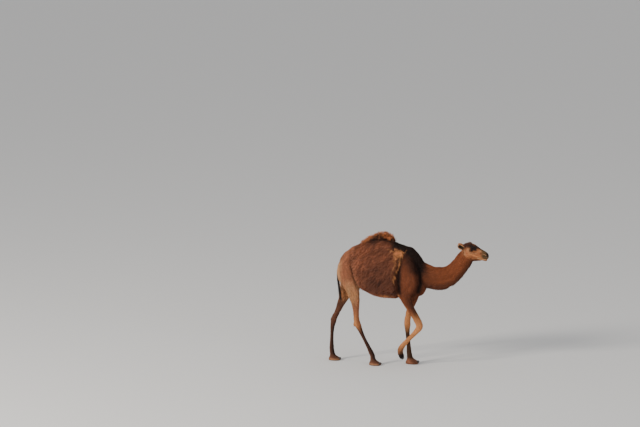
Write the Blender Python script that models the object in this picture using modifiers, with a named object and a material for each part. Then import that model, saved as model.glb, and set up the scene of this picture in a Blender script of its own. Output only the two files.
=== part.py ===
"""A walking dromedary camel, life size, as a museum would show it.

The row frame is +X towards the nose, +Y to the animal's left and +Z up, in metres, with the
origin on the floor under the middle of the animal's box. Three feet stand on the floor and the
right forefoot swings.

The body is built whole from tubes of unlike sections and from muscle ellipsoids, fused by a voxel
remesh, smoothed and thinned, and then parted with thin cuts into the parts that a person would
name. Ears, eyes, nails, tail and the woolly crest of the hump are pieces of their own.
"""

import math
from typing import NamedTuple

import bmesh
import bpy
import numpy as np
from mathutils import Matrix, Vector

# Driving dimensions, in metres. Lengths along the body are measured from under the hump.
BOX_MIDDLE_X = 0.478  # the middle of the animal's box, ahead of the hump
CUT = 0.0008  # width of the thin cuts between neighbouring parts
SEAT_GAP = 0.0004  # gap round an eye or a nail in its seat
FIT_GAP = 0.0015  # gap under an ear, the tail or the crest
VOXEL = 0.0085  # grain of the remesh that fuses the body
BARREL_FROM_Z = 1.10  # the broad forms above this and behind BARREL_TO_X are smoothed further
BARREL_TO_X = 0.85
BARREL_ROUNDS = 12
BODY_TRIANGLES = 4500
CREST_TRIANGLES = 360
EYE_SEGMENTS = 14
NAIL_SEGMENTS = 10
FETLOCK_HEIGHT = 0.16
FRONT_FOOT = 1.0  # size of a forefoot's pad against the table FOOT
HIND_FOOT = 0.92
EYE_RADIUS = 0.021
HEAD_TURN = math.radians(10)  # to the animal's left
HEAD_PIVOT = (1.36, 0.0, 1.75)
RING_POINTS = 24
RINGS_PER_STATION = 4
TAIL_RING_POINTS = 8
TAIL_RINGS_PER_STATION = 2


class Station(NamedTuple):
    """One cross-section of a tube: its centre, and its half sizes across the path."""

    x: float
    y: float
    z: float
    fore: float  # towards the back of the trunk and neck, or the front of a leg
    aft: float  # towards the belly and throat, or the back of a leg
    wide: float  # sideways
    power: float = 2.0  # 2 is an ellipse, less is sharper, more is boxier


# Rump to chest, without the wool. The path runs at the height where the trunk is widest.
TRUNK = (
    Station(-0.590, 0, 1.38, 0.07, 0.10, 0.05),
    Station(-0.550, 0, 1.38, 0.17, 0.16, 0.12),
    Station(-0.475, 0, 1.39, 0.285, 0.22, 0.190),
    Station(-0.360, 0, 1.40, 0.360, 0.22, 0.225),
    Station(-0.220, 0, 1.38, 0.395, 0.20, 0.232),
    Station(-0.050, 0, 1.35, 0.430, 0.23, 0.255),
    Station(0.120, 0, 1.34, 0.450, 0.27, 0.270),
    Station(0.280, 0, 1.34, 0.460, 0.285, 0.262),
    Station(0.400, 0, 1.34, 0.465, 0.290, 0.232),
    Station(0.520, 0, 1.33, 0.470, 0.300, 0.200),
    Station(0.620, 0, 1.34, 0.405, 0.285, 0.165),
    Station(0.690, 0, 1.36, 0.280, 0.240, 0.130),
    Station(0.745, 0, 1.38, 0.160, 0.150, 0.080),
)

# The thick wool of the barrel: it ends in a step behind the shoulder.
WOOL = (
    Station(-0.345, 0, 1.43, 0.27, 0.16, 0.200),
    Station(-0.260, 0, 1.41, 0.345, 0.205, 0.245),
    Station(-0.130, 0, 1.37, 0.400, 0.245, 0.275),
    Station(0.020, 0, 1.345, 0.435, 0.290, 0.297),
    Station(0.160, 0, 1.34, 0.450, 0.308, 0.304),
    Station(0.280, 0, 1.34, 0.455, 0.306, 0.297),
    Station(0.335, 0, 1.34, 0.455, 0.302, 0.287),
    Station(0.360, 0, 1.34, 0.445, 0.290, 0.268),
)
WOOL_EDGE_LEAN = 0.15  # how far the top of the wool's front edge leans ahead of its middle
WOOL_EDGE_FOOT = 0.06  # how far the bottom of that edge runs ahead
WOOL_EDGE_Z = (1.10, 1.36, 1.52, 1.68)  # heights of the edge's foot, middle (two) and top

HUMP = (
    Station(-0.480, 0, 1.56, 0.060, 0.05, 0.105),
    Station(-0.430, 0, 1.57, 0.145, 0.05, 0.140, 1.9),
    Station(-0.330, 0, 1.58, 0.222, 0.05, 0.175, 1.8),
    Station(-0.150, 0, 1.58, 0.312, 0.05, 0.212, 1.75),
    Station(0.040, 0, 1.58, 0.384, 0.05, 0.226, 1.7),
    Station(0.190, 0, 1.58, 0.362, 0.05, 0.216, 1.7),
    Station(0.330, 0, 1.58, 0.306, 0.05, 0.180, 1.8),
    Station(0.460, 0, 1.58, 0.264, 0.05, 0.130, 2.0),
    Station(0.570, 0, 1.58, 0.232, 0.05, 0.105, 2.2),
    Station(0.640, 0, 1.58, 0.168, 0.05, 0.090, 2.2),
    Station(0.695, 0, 1.58, 0.096, 0.05, 0.080, 2.2),
    Station(0.745, 0, 1.58, 0.020, 0.04, 0.040),
)

NECK = (
    Station(0.530, 0.000, 1.420, 0.200, 0.235, 0.150),
    Station(0.690, 0.000, 1.405, 0.195, 0.230, 0.135),
    Station(0.800, 0.000, 1.385, 0.178, 0.185, 0.117),
    Station(0.900, 0.002, 1.365, 0.165, 0.175, 0.103),
    Station(1.000, 0.006, 1.360, 0.171, 0.179, 0.096),
    Station(1.105, 0.012, 1.390, 0.155, 0.171, 0.089),
    Station(1.205, 0.020, 1.464, 0.134, 0.155, 0.081),
    Station(1.290, 0.030, 1.562, 0.126, 0.148, 0.075),
    Station(1.360, 0.038, 1.660, 0.122, 0.142, 0.072),
    Station(1.410, 0.042, 1.745, 0.100, 0.120, 0.066),
)

# Back of the skull to the nose, built straight ahead and then turned with the head.
HEAD = (
    Station(1.335, 0, 1.815, 0.045, 0.060, 0.045),
    Station(1.370, 0, 1.800, 0.093, 0.115, 0.077),
    Station(1.426, 0, 1.776, 0.132, 0.148, 0.087),
    Station(1.489, 0, 1.760, 0.130, 0.142, 0.083),
    Station(1.546, 0, 1.748, 0.108, 0.125, 0.067),
    Station(1.599, 0, 1.736, 0.083, 0.109, 0.054),
    Station(1.649, 0, 1.721, 0.068, 0.090, 0.048),
    Station(1.688, 0, 1.704, 0.057, 0.064, 0.046),
    Station(1.714, 0, 1.690, 0.040, 0.044, 0.037),
    Station(1.730, 0, 1.682, 0.015, 0.018, 0.016),
)

# The right foreleg swings forward with its knee bent.
FORELEG_RIGHT = (
    Station(0.490, -0.120, 1.640, 0.085, 0.085, 0.050),
    Station(0.535, -0.165, 1.520, 0.125, 0.105, 0.066),
    Station(0.560, -0.178, 1.380, 0.138, 0.130, 0.076),
    Station(0.550, -0.176, 1.250, 0.130, 0.130, 0.076),
    Station(0.495, -0.166, 1.120, 0.105, 0.105, 0.068),
    Station(0.522, -0.156, 1.010, 0.080, 0.080, 0.058),
    Station(0.582, -0.150, 0.890, 0.063, 0.064, 0.051),
    Station(0.648, -0.145, 0.765, 0.068, 0.050, 0.046),
    Station(0.697, -0.141, 0.678, 0.063, 0.050, 0.049),
    Station(0.708, -0.140, 0.615, 0.058, 0.050, 0.049),
    Station(0.660, -0.138, 0.540, 0.042, 0.042, 0.040),
    Station(0.572, -0.134, 0.445, 0.033, 0.036, 0.033),
    Station(0.487, -0.130, 0.355, 0.036, 0.040, 0.035),
    Station(0.440, -0.128, 0.300, 0.042, 0.042, 0.040),
    Station(0.418, -0.127, 0.255, 0.046, 0.045, 0.042),
    Station(0.418, -0.127, 0.205, 0.042, 0.044, 0.054),
    Station(0.428, -0.127, 0.165, 0.038, 0.038, 0.050),
)
# The left foreleg bears weight under the shoulder.
FORELEG_LEFT = (
    Station(0.490, 0.120, 1.640, 0.085, 0.085, 0.050),
    Station(0.550, 0.165, 1.520, 0.120, 0.105, 0.066),
    Station(0.598, 0.178, 1.380, 0.128, 0.130, 0.076),
    Station(0.603, 0.176, 1.250, 0.122, 0.130, 0.076),
    Station(0.565, 0.166, 1.120, 0.098, 0.110, 0.068),
    Station(0.550, 0.156, 1.010, 0.076, 0.080, 0.058),
    Station(0.512, 0.150, 0.890, 0.060, 0.062, 0.051),
    Station(0.476, 0.145, 0.760, 0.050, 0.050, 0.044),
    Station(0.460, 0.141, 0.665, 0.049, 0.049, 0.048),
    Station(0.456, 0.140, 0.600, 0.054, 0.047, 0.049),
    Station(0.461, 0.138, 0.525, 0.040, 0.040, 0.038),
    Station(0.472, 0.134, 0.400, 0.031, 0.034, 0.031),
    Station(0.486, 0.130, 0.270, 0.033, 0.037, 0.034),
    Station(0.492, 0.128, 0.190, 0.038, 0.042, 0.039),
    Station(0.496, 0.127, 0.130, 0.038, 0.040, 0.040),
)
# The right hind leg has just landed well forward.
HINDLEG_RIGHT = (
    Station(-0.420, -0.110, 1.570, 0.100, 0.110, 0.055),
    Station(-0.425, -0.158, 1.460, 0.118, 0.115, 0.080),
    Station(-0.400, -0.172, 1.360, 0.138, 0.125, 0.088),
    Station(-0.352, -0.172, 1.250, 0.132, 0.130, 0.086),
    Station(-0.310, -0.163, 1.140, 0.106, 0.110, 0.076),
    Station(-0.288, -0.154, 1.020, 0.078, 0.083, 0.062),
    Station(-0.277, -0.147, 0.900, 0.060, 0.063, 0.050),
    Station(-0.271, -0.142, 0.780, 0.048, 0.051, 0.041),
    Station(-0.262, -0.138, 0.680, 0.044, 0.052, 0.040),
    Station(-0.243, -0.135, 0.605, 0.049, 0.050, 0.044),
    Station(-0.206, -0.133, 0.520, 0.037, 0.036, 0.036),
    Station(-0.148, -0.130, 0.400, 0.028, 0.029, 0.028),
    Station(-0.082, -0.128, 0.275, 0.031, 0.033, 0.031),
    Station(-0.040, -0.127, 0.192, 0.037, 0.040, 0.037),
    Station(-0.012, -0.127, 0.130, 0.037, 0.038, 0.037),
)
# The left hind leg trails, about to leave the floor.
HINDLEG_LEFT = (
    Station(-0.430, 0.110, 1.570, 0.100, 0.110, 0.055),
    Station(-0.448, 0.158, 1.460, 0.118, 0.115, 0.080),
    Station(-0.452, 0.172, 1.340, 0.132, 0.125, 0.088),
    Station(-0.462, 0.172, 1.215, 0.125, 0.128, 0.086),
    Station(-0.492, 0.163, 1.095, 0.103, 0.105, 0.076),
    Station(-0.540, 0.154, 0.980, 0.077, 0.080, 0.062),
    Station(-0.593, 0.147, 0.862, 0.059, 0.062, 0.050),
    Station(-0.640, 0.142, 0.750, 0.046, 0.048, 0.040),
    Station(-0.680, 0.138, 0.665, 0.042, 0.050, 0.040),
    Station(-0.702, 0.135, 0.600, 0.046, 0.044, 0.044),
    Station(-0.716, 0.133, 0.520, 0.036, 0.035, 0.036),
    Station(-0.723, 0.130, 0.400, 0.028, 0.029, 0.028),
    Station(-0.726, 0.128, 0.275, 0.031, 0.032, 0.031),
    Station(-0.726, 0.127, 0.192, 0.037, 0.038, 0.037),
    Station(-0.722, 0.127, 0.130, 0.037, 0.038, 0.037),
)

TAIL = (
    Station(-0.530, 0.000, 1.485, 0.026, 0.026, 0.030),
    Station(-0.578, 0.000, 1.455, 0.023, 0.023, 0.026),
    Station(-0.598, 0.002, 1.390, 0.019, 0.019, 0.021),
    Station(-0.596, 0.004, 1.290, 0.014, 0.014, 0.016),
    Station(-0.582, 0.006, 1.180, 0.014, 0.014, 0.016),
    Station(-0.570, 0.008, 1.080, 0.019, 0.019, 0.021),
    Station(-0.556, 0.010, 0.990, 0.016, 0.016, 0.018),
    Station(-0.546, 0.012, 0.930, 0.005, 0.005, 0.005),
)


class Level(NamedTuple):
    """One level outline of a foot: its height, and its centre ahead of the fetlock."""

    height: float
    ahead: float
    half_length: float
    half_width: float
    cleft: float  # depth of the notch between the two toes, as a share


# The broad pad of a foot that stands flat. Its lowest ring lies under the floor, which trims it.
FOOT = (
    Level(-0.012, 0.046, 0.090, 0.072, 0.06),
    Level(0.006, 0.048, 0.105, 0.085, 0.13),
    Level(0.026, 0.046, 0.103, 0.083, 0.15),
    Level(0.045, 0.039, 0.090, 0.072, 0.13),
    Level(0.065, 0.028, 0.070, 0.059, 0.08),
    Level(0.092, 0.014, 0.051, 0.047, 0.03),
    Level(0.130, 0.004, 0.044, 0.044, 0.0),
    Level(0.175, 0.000, 0.040, 0.040, 0.0),
)


class Pose(NamedTuple):
    """Where a foot stands: the place of its fetlock, and its turn."""

    leg: str
    x: float
    y: float
    splay: float  # degrees, positive to the left
    size: float


FEET = (
    Pose("front_left", 0.494, 0.128, 6, FRONT_FOOT),
    Pose("hind_right", -0.020, -0.127, -7, HIND_FOOT),
    Pose("hind_left", -0.722, 0.127, 7, HIND_FOOT),
)


class Mass(NamedTuple):
    """A muscle, bone or pad as an ellipsoid, tilted in the side view by tilt degrees."""

    x: float
    y: float
    z: float
    half_x: float
    half_y: float
    half_z: float
    tilt: float = 0.0


BODY_MASSES = (
    Mass(0.500, 0.0, 1.035, 0.120, 0.085, 0.052),  # pad under the breastbone
    Mass(0.690, 0.0, 1.200, 0.070, 0.110, 0.110),  # breast
    Mass(-0.528, 0.080, 1.420, 0.060, 0.075, 0.150),  # left buttock
    Mass(-0.528, -0.080, 1.420, 0.060, 0.075, 0.150),  # right buttock
    Mass(0.425, -0.166, 1.085, 0.050, 0.040, 0.055),  # right elbow
    Mass(0.480, 0.166, 1.085, 0.050, 0.040, 0.055),  # left elbow
    Mass(-0.294, -0.143, 0.628, 0.024, 0.022, 0.050, 10),  # right heel bone
    Mass(-0.725, 0.143, 0.635, 0.024, 0.022, 0.050, 20),  # left heel bone
    Mass(0.432, -0.160, 0.168, 0.054, 0.031, 0.035, 75),  # outer toe of the lifted foot
    Mass(0.432, -0.094, 0.168, 0.054, 0.031, 0.035, 75),  # inner toe of the lifted foot
)
# These turn with the head. Each pair is mirrored.
HEAD_PAIRS = (
    Mass(1.470, 0.068, 1.832, 0.042, 0.027, 0.021, 12),  # brow ridge
    Mass(1.484, 0.060, 1.768, 0.050, 0.026, 0.020, 10),  # cheekbone
    Mass(1.428, 0.058, 1.722, 0.060, 0.030, 0.062, 10),  # cheek
    Mass(1.668, 0.022, 1.742, 0.040, 0.024, 0.028, 35),  # nostril
    Mass(1.702, 0.018, 1.690, 0.030, 0.022, 0.030, 20),  # half of the upper lip
)
HEAD_MASSES = (
    Mass(1.405, 0.0, 1.886, 0.052, 0.045, 0.030, 8),  # forehead's woolly top
    Mass(1.664, 0.0, 1.652, 0.048, 0.034, 0.020, 8),  # lower lip
)

EYES = Mass(1.468, 0.0725, 1.800, EYE_RADIUS, EYE_RADIUS, EYE_RADIUS)

EAR_LENGTH = 0.112
EAR_WIDTH = 0.074
EAR_WALL = 0.009
EAR_ROOT = (1.352, 0.058, 1.826)
EAR_LEAN_BACK = math.radians(52)
EAR_LEAN_OUT = math.radians(24)
EAR_TURN_OUT = math.radians(72)  # the ear's hollow looks this far outwards from ahead

NAIL = (0.020, 0.017, 0.013)  # half sizes: along, across and high
NAIL_PLACE = (0.134, 0.034, 0.032)  # from the fetlock's foot on the floor, on a size 1 foot
LIFTED_NAILS = (
    Mass(0.454, -0.094, 0.126, *NAIL, 80),
    Mass(0.454, -0.160, 0.126, *NAIL, 80),
)

# The crest of matted wool along the hump, as the line of its top: (x, z) pairs.
CREST_TOP = (
    (-0.215, 1.885),
    (-0.165, 1.935),
    (-0.105, 1.966),
    (-0.027, 1.998),
    (0.045, 2.026),
    (0.110, 2.042),
    (0.165, 2.044),
    (0.218, 2.028),
    (0.262, 2.001),
    (0.300, 1.966),
)
CREST_HALF_HEIGHT = 0.060
CREST_HALF_WIDTH = 0.040
CREST_LOBES = 12


class Block(NamedTuple):
    """A block of space that one part of the body fills, run out from its cut plane."""

    part: str
    x: float  # the middle of the cut plane
    y: float
    z: float
    heading: float  # degrees: 0 runs ahead, 90 runs down, 180 runs back
    length: float
    breadth: float  # across the run in the side view
    depth: float  # sideways


# Parts are taken off the body in this order, and what is left is the trunk.
BLOCKS = (
    Block("head", 1.395, 0.03, 1.665, -32, 0.60, 0.90, 0.60),
    Block("neck", 0.748, 0.00, 1.400, 0, 0.90, 1.00, 0.60),
    Block("hump", 0.040, 0.00, 1.750, -93, 0.40, 0.84, 0.60),
    Block("foot_front_right", 0.420, -0.127, 0.266, 90, 0.24, 0.30, 0.24),
    Block("cannon_front_right", 0.668, -0.137, 0.550, 131, 0.48, 0.28, 0.20),
    Block("forearm_right", 0.512, -0.160, 1.045, 72, 0.65, 0.44, 0.15),
    Block("foot_front_left", 0.520, 0.130, 0.168, 90, 0.30, 0.40, 0.25),
    Block("cannon_front_left", 0.457, 0.138, 0.560, 88, 0.46, 0.30, 0.25),
    Block("forearm_left", 0.548, 0.160, 1.045, 98, 0.60, 0.44, 0.15),
    Block("foot_hind_right", 0.010, -0.130, 0.168, 90, 0.30, 0.40, 0.25),
    Block("cannon_hind_right", -0.225, -0.134, 0.550, 64, 0.50, 0.26, 0.25),
    Block("gaskin_right", -0.300, -0.160, 1.080, 86, 0.62, 0.44, 0.22),
    Block("foot_hind_left", -0.690, 0.130, 0.168, 90, 0.30, 0.40, 0.25),
    Block("cannon_hind_left", -0.712, 0.134, 0.550, 91, 0.46, 0.26, 0.25),
    Block("gaskin_left", -0.507, 0.160, 1.062, 112, 0.64, 0.46, 0.22),
)


SIDES = ((1, "left"), (-1, "right"))


class Finish(NamedTuple):
    """A part's plain colour and roughness."""

    name: str
    color: tuple
    roughness: float


SLEEK = Finish("sleek_coat", (0.245, 0.092, 0.040, 1.0), 0.75)
WOOLLY = Finish("woolly_coat", (0.200, 0.072, 0.034, 1.0), 0.95)
CREST = Finish("crest_wool", (0.430, 0.185, 0.080, 1.0), 0.95)
TAIL_HAIR = Finish("tail_hair", (0.045, 0.022, 0.015, 1.0), 0.9)
FOOT_SKIN = Finish("foot_skin", (0.225, 0.105, 0.060, 1.0), 0.8)
EYE = Finish("eye", (0.015, 0.008, 0.006, 1.0), 0.08)
NAIL_HORN = Finish("nail_horn", (0.070, 0.045, 0.032, 1.0), 0.45)


def material(finish):
    """A Principled material of this finish, made once."""
    found = bpy.data.materials.get(finish.name)
    if found:
        return found
    made = bpy.data.materials.new(finish.name)
    made.use_nodes = True
    shader = made.node_tree.nodes["Principled BSDF"]
    shader.inputs["Base Color"].default_value = finish.color
    shader.inputs["Roughness"].default_value = finish.roughness
    made.diffuse_color = finish.color
    return made


def finish_of(part):
    """The finish of a part of the body, from its name."""
    if part.startswith("foot"):
        return FOOT_SKIN
    return WOOLLY if part in ("trunk", "hump") else SLEEK


def smooth_columns(table, count):
    """Rows between the table's rows, on a curve whose slopes never overshoot (Fritsch-Carlson)."""
    rows = np.array(table, float)
    steps = np.diff(rows, axis=0)
    before, after = steps[:-1], steps[1:]
    total = before + after
    even = np.where(total == 0, 1.0, total)
    inner = np.where(before * after > 0, 2 * before * after / even, 0.0)
    slopes = np.vstack([steps[:1], inner, steps[-1:]])
    t = np.linspace(0, 1, count, endpoint=False)[:, None]
    made = []
    for low, high, s0, s1 in zip(rows[:-1], rows[1:], slopes[:-1], slopes[1:]):
        made.append(
            (2 * t**3 - 3 * t**2 + 1) * low
            + (t**3 - 2 * t**2 + t) * s0
            + (3 * t**2 - 2 * t**3) * high
            + (t**3 - t**2) * s1
        )
    return np.vstack([*made, rows[-1:]])


def smooth_path(points, count):
    """Points between the given ones on a Catmull-Rom curve."""
    p = np.array(points, float)
    p = np.vstack([2 * p[0] - p[1], p, 2 * p[-1] - p[-2]])
    t = np.linspace(0, 1, count, endpoint=False)[:, None]
    made = []
    for a, b, c, d in zip(p[:-3], p[1:-2], p[2:-1], p[3:]):
        bend = 2 * a - 5 * b + 4 * c - d
        twist = 3 * b - a - 3 * c + d
        made.append(0.5 * (2 * b + (c - a) * t + bend * t**2 + twist * t**3))
    return np.vstack([*made, p[-2:-1]])


def skin_rings(rings, collection, name):
    """A closed mesh object over rings of points, its two ends capped."""
    count, around = rings.shape[:2]
    mesh = bmesh.new()
    rows = [[mesh.verts.new(point) for point in ring] for ring in rings]
    for low, high in zip(rows[:-1], rows[1:]):
        for i in range(around):
            j = (i + 1) % around
            mesh.faces.new((low[i], low[j], high[j], high[i]))
    mesh.faces.new(rows[0][::-1])
    mesh.faces.new(rows[count - 1])
    bmesh.ops.recalc_face_normals(mesh, faces=mesh.faces)
    return add_object(mesh, collection, name)


def add_object(mesh, collection, name):
    """An object of this bmesh, linked to the collection; the bmesh is freed."""
    data = bpy.data.meshes.new(name)
    mesh.to_mesh(data)
    mesh.free()
    made = bpy.data.objects.new(name, data)
    collection.objects.link(made)
    return made


def tube_rings(stations, around=RING_POINTS, between=RINGS_PER_STATION):
    """Rings of a tube: each is a superellipse across the path, uneven fore and aft."""
    centres = smooth_path([s[:3] for s in stations], between)
    shapes = smooth_columns([s[3:] for s in stations], between)
    along = np.gradient(centres, axis=0)
    along[:, 1] = 0
    along /= np.linalg.norm(along, axis=1)[:, None]
    across = np.stack([-along[:, 2], np.zeros(len(along)), along[:, 0]], axis=1)
    angle = np.linspace(0, 2 * math.pi, around, endpoint=False)
    c, s = np.cos(angle), np.sin(angle)
    rings = []
    for centre, (fore, aft, wide, power), up in zip(centres, shapes, across):
        side = np.sign(c) * np.abs(c) ** (2 / power) * wide
        high = np.sign(s) * np.abs(s) ** (2 / power) * np.where(s > 0, fore, aft)
        rings.append(centre + np.outer(side, (0, 1, 0)) + np.outer(high, up))
    return np.array(rings)


def tube(stations, collection, name):
    """A tube of unlike sections through the stations."""
    return skin_rings(tube_rings(stations), collection, name)


def tail(parts):
    """The thin tail with its tuft of hair."""
    return skin_rings(tube_rings(TAIL, TAIL_RING_POINTS, TAIL_RINGS_PER_STATION), parts, "tail")


def wool(collection):
    """The wool of the barrel, its front edge leaned ahead at the withers and at the elbow."""
    rings = tube_rings(WOOL)
    foot, low, high, top = WOOL_EDGE_Z
    lean = np.interp(rings[..., 2], [foot, low, high, top], [WOOL_EDGE_FOOT, 0, 0, WOOL_EDGE_LEAN])
    share = np.linspace(0, 1, len(rings))[:, None] ** 3
    rings[..., 0] += lean * share
    return skin_rings(rings, collection, "wool")


def foot_rings():
    """Level outlines of a foot, with its fetlock over the origin: two toes and a round heel."""
    levels = smooth_columns(FOOT, 2)
    angle = np.linspace(0, 2 * math.pi, RING_POINTS, endpoint=False)
    notch = np.exp(-((np.minimum(angle, 2 * math.pi - angle) / 0.3) ** 2))
    rings = []
    for height, ahead, half_length, half_width, cleft in levels:
        reach = 1 - cleft * notch
        x = ahead + half_length * np.cos(angle) * reach
        y = half_width * np.sin(angle) * (1 + 0.08 * np.cos(angle))
        rings.append(np.stack([x, y, np.full(RING_POINTS, height)], axis=1))
    return np.array(rings)


def foot_matrix(pose):
    """Takes a foot that stands under the origin to its place on the floor."""
    turn = Matrix.Rotation(math.radians(pose.splay), 4, "Z")
    return Matrix.Translation((pose.x, pose.y, 0)) @ turn @ Matrix.Scale(pose.size, 4)


def foot(pose, collection):
    """The pad, toes and pastern of one leg."""
    made = skin_rings(foot_rings(), collection, "foot_" + pose.leg)
    made.data.transform(foot_matrix(pose))
    return made


def ellipsoid(mass, collection, name, segments=20):
    """A muscle, bone or pad."""
    mesh = bmesh.new()
    bmesh.ops.create_uvsphere(mesh, u_segments=segments, v_segments=segments // 2, radius=1)
    sizes = Matrix.Diagonal((mass.half_x, mass.half_y, mass.half_z, 1))
    tilt = Matrix.Rotation(math.radians(mass.tilt), 4, "Y")
    mesh.transform(Matrix.Translation((mass.x, mass.y, mass.z)) @ tilt @ sizes)
    return add_object(mesh, collection, name)


def head_matrix():
    """The turn of the head, with the step sideways that the neck has made there."""
    x, y, z = HEAD_PIVOT
    shift = Matrix.Translation((0, NECK[-2].y, 0))
    pivot = Matrix.Translation((x, y, z))
    return shift @ pivot @ Matrix.Rotation(HEAD_TURN, 4, "Z") @ pivot.inverted()


def mirrored(mass):
    """The same mass on the other side."""
    return mass._replace(y=-mass.y)


def head_pieces(collection):
    """The skull's tube and its brows, cheeks, nostrils and lips, turned with the head."""
    pieces = [tube(HEAD, collection, "skull")]
    masses = [*HEAD_PAIRS, *map(mirrored, HEAD_PAIRS), *HEAD_MASSES]
    pieces += [ellipsoid(mass, collection, "head_mass") for mass in masses]
    for piece in pieces:
        piece.data.transform(head_matrix())
    return pieces


def modifier(obj, kind, **settings):
    """A modifier of this kind on the object, with these settings."""
    made = obj.modifiers.new(kind.lower(), kind)
    for key, value in settings.items():
        setattr(made, key, value)
    return made


def applied(obj):
    """The object with its modifiers turned into its mesh."""
    graph = bpy.context.evaluated_depsgraph_get()
    data = bpy.data.meshes.new_from_object(obj.evaluated_get(graph))
    obj.modifiers.clear()
    old = obj.data
    obj.data = data
    bpy.data.meshes.remove(old)
    return obj


def joined(pieces, name):
    """One object that holds the meshes of all the pieces, which are removed."""
    mesh = bmesh.new()
    for piece in pieces:
        mesh.from_mesh(piece.data)
    collection = pieces[0].users_collection[0]
    for piece in pieces:
        bpy.data.objects.remove(piece)
    return add_object(mesh, collection, name)


def fused(obj, voxel, rounds, triangles):
    """The object's overlapping shapes made one smooth closed skin of about so many triangles."""
    modifier(obj, "REMESH", mode="VOXEL", voxel_size=voxel)
    applied(obj)
    barrel = obj.vertex_groups.new(name="barrel")
    inside = [v.index for v in obj.data.vertices if v.co.z > BARREL_FROM_Z and v.co.x < BARREL_TO_X]
    barrel.add(inside, 1, "REPLACE")
    modifier(obj, "SMOOTH", factor=0.5, iterations=rounds)
    modifier(obj, "SMOOTH", factor=0.5, iterations=BARREL_ROUNDS, vertex_group=barrel.name)
    applied(obj)
    faces = 2 * len(obj.data.polygons)
    modifier(obj, "DECIMATE", ratio=triangles / faces)
    return applied(obj)


def block_mesh(block, grow, collection):
    """The block as an object, grown by the given amount on every side."""
    mesh = bmesh.new()
    bmesh.ops.create_cube(mesh, size=1)
    sizes = Matrix.Diagonal((block.length + 2 * grow, block.depth + 2 * grow, block.breadth + 2 * grow, 1))
    ahead = Matrix.Translation((block.length / 2, 0, 0))
    heading = Matrix.Rotation(math.radians(block.heading), 4, "Y")
    mesh.transform(Matrix.Translation((block.x, block.y, block.z)) @ heading @ ahead @ sizes)
    return add_object(mesh, collection, "block")


def cut(obj, other, operation):
    """The object after a Boolean with another one."""
    modifier(obj, "BOOLEAN", object=other, operation=operation, solver="EXACT")
    return applied(obj)


def copy_of(obj, name, collection):
    """A copy of the object with a mesh of its own."""
    made = bpy.data.objects.new(name, obj.data.copy())
    collection.objects.link(made)
    return made


def largest_piece(obj):
    """Drops every loose piece of the mesh but the largest."""
    mesh = bmesh.new()
    mesh.from_mesh(obj.data)
    left = set(mesh.verts)
    islands = []
    while left:
        todo = [left.pop()]
        island = list(todo)
        while todo:
            last = todo.pop()
            near = [edge.other_vert(last) for edge in last.link_edges]
            fresh = [vert for vert in near if vert in left]
            left.difference_update(fresh)
            todo += fresh
            island += fresh
        islands.append(island)
    islands.sort(key=len)
    for island in islands[:-1]:
        bmesh.ops.delete(mesh, geom=island, context="VERTS")
    mesh.to_mesh(obj.data)
    mesh.free()
    return obj


def part_body(body, parts, tools):
    """Takes each block's part off the body, with a thin cut between, and names the rest the trunk."""
    made = {}
    for block in BLOCKS:
        piece = copy_of(body, block.part, parts)
        inside = block_mesh(block, 0, tools)
        made[block.part] = largest_piece(cut(piece, inside, "INTERSECT"))
        outside = block_mesh(block, CUT, tools)
        largest_piece(cut(body, outside, "DIFFERENCE"))
        bpy.data.objects.remove(inside)
        bpy.data.objects.remove(outside)
    body.name = "trunk"
    made["trunk"] = body
    return made


def fit_on(piece, host, tools):
    """Cuts from the piece what lies in its host, less a small gap."""
    grown = copy_of(host, "grown", tools)
    modifier(grown, "DISPLACE", strength=FIT_GAP, mid_level=0)
    applied(grown)
    largest_piece(cut(piece, grown, "DIFFERENCE"))
    bpy.data.objects.remove(grown)


def seat_for(host, mass, matrix, segments, tools):
    """Cuts a seat into the host for an ellipsoid of so many segments, with a small gap."""
    grown = Mass(*mass[:3], *(half + SEAT_GAP for half in mass[3:6]), mass.tilt)
    cutter = ellipsoid(grown, tools, "seat", segments)
    cutter.data.transform(matrix)
    largest_piece(cut(host, cutter, "DIFFERENCE"))
    bpy.data.objects.remove(cutter)


def ear(side, parts):
    """A leaf-shaped ear: rings up its length, hollowed on the face that looks out."""
    count, around = 8, 12
    share = np.linspace(0, 1, count)[:, None]
    half = 0.5 * EAR_WIDTH * np.sin(math.pi * (0.22 + 0.70 * share)) ** 0.75
    angle = np.linspace(0, 2 * math.pi, around, endpoint=False)[None, :]
    y = half * np.cos(angle)
    hollow = 0.45 * (half - np.abs(y)) * np.sin(math.pi * np.clip(share + 0.08, 0, 1))
    front = np.sin(angle) > 0.01
    x = np.where(front, EAR_WALL * np.sin(angle) * 0.3 - hollow, EAR_WALL * np.sin(angle) - hollow)
    z = np.broadcast_to(EAR_LENGTH * (share - 0.12), x.shape)
    made = skin_rings(np.stack([x, y, z], axis=2), parts, "ear_" + ("left" if side > 0 else "right"))
    turn = Matrix.Rotation(side * EAR_TURN_OUT, 4, "Z")
    back = Matrix.Rotation(-EAR_LEAN_BACK, 4, "Y")
    out = Matrix.Rotation(-side * EAR_LEAN_OUT, 4, "X")
    place = Matrix.Translation((EAR_ROOT[0], side * EAR_ROOT[1], EAR_ROOT[2]))
    made.data.transform(head_matrix() @ place @ out @ back @ turn)
    return made


def nail(name, mass, matrix, host, parts, tools):
    """A nail in its seat at the tip of a toe."""
    seat_for(host, mass, matrix, NAIL_SEGMENTS, tools)
    piece = ellipsoid(mass, parts, name, NAIL_SEGMENTS)
    piece.data.transform(matrix)
    return piece


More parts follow.
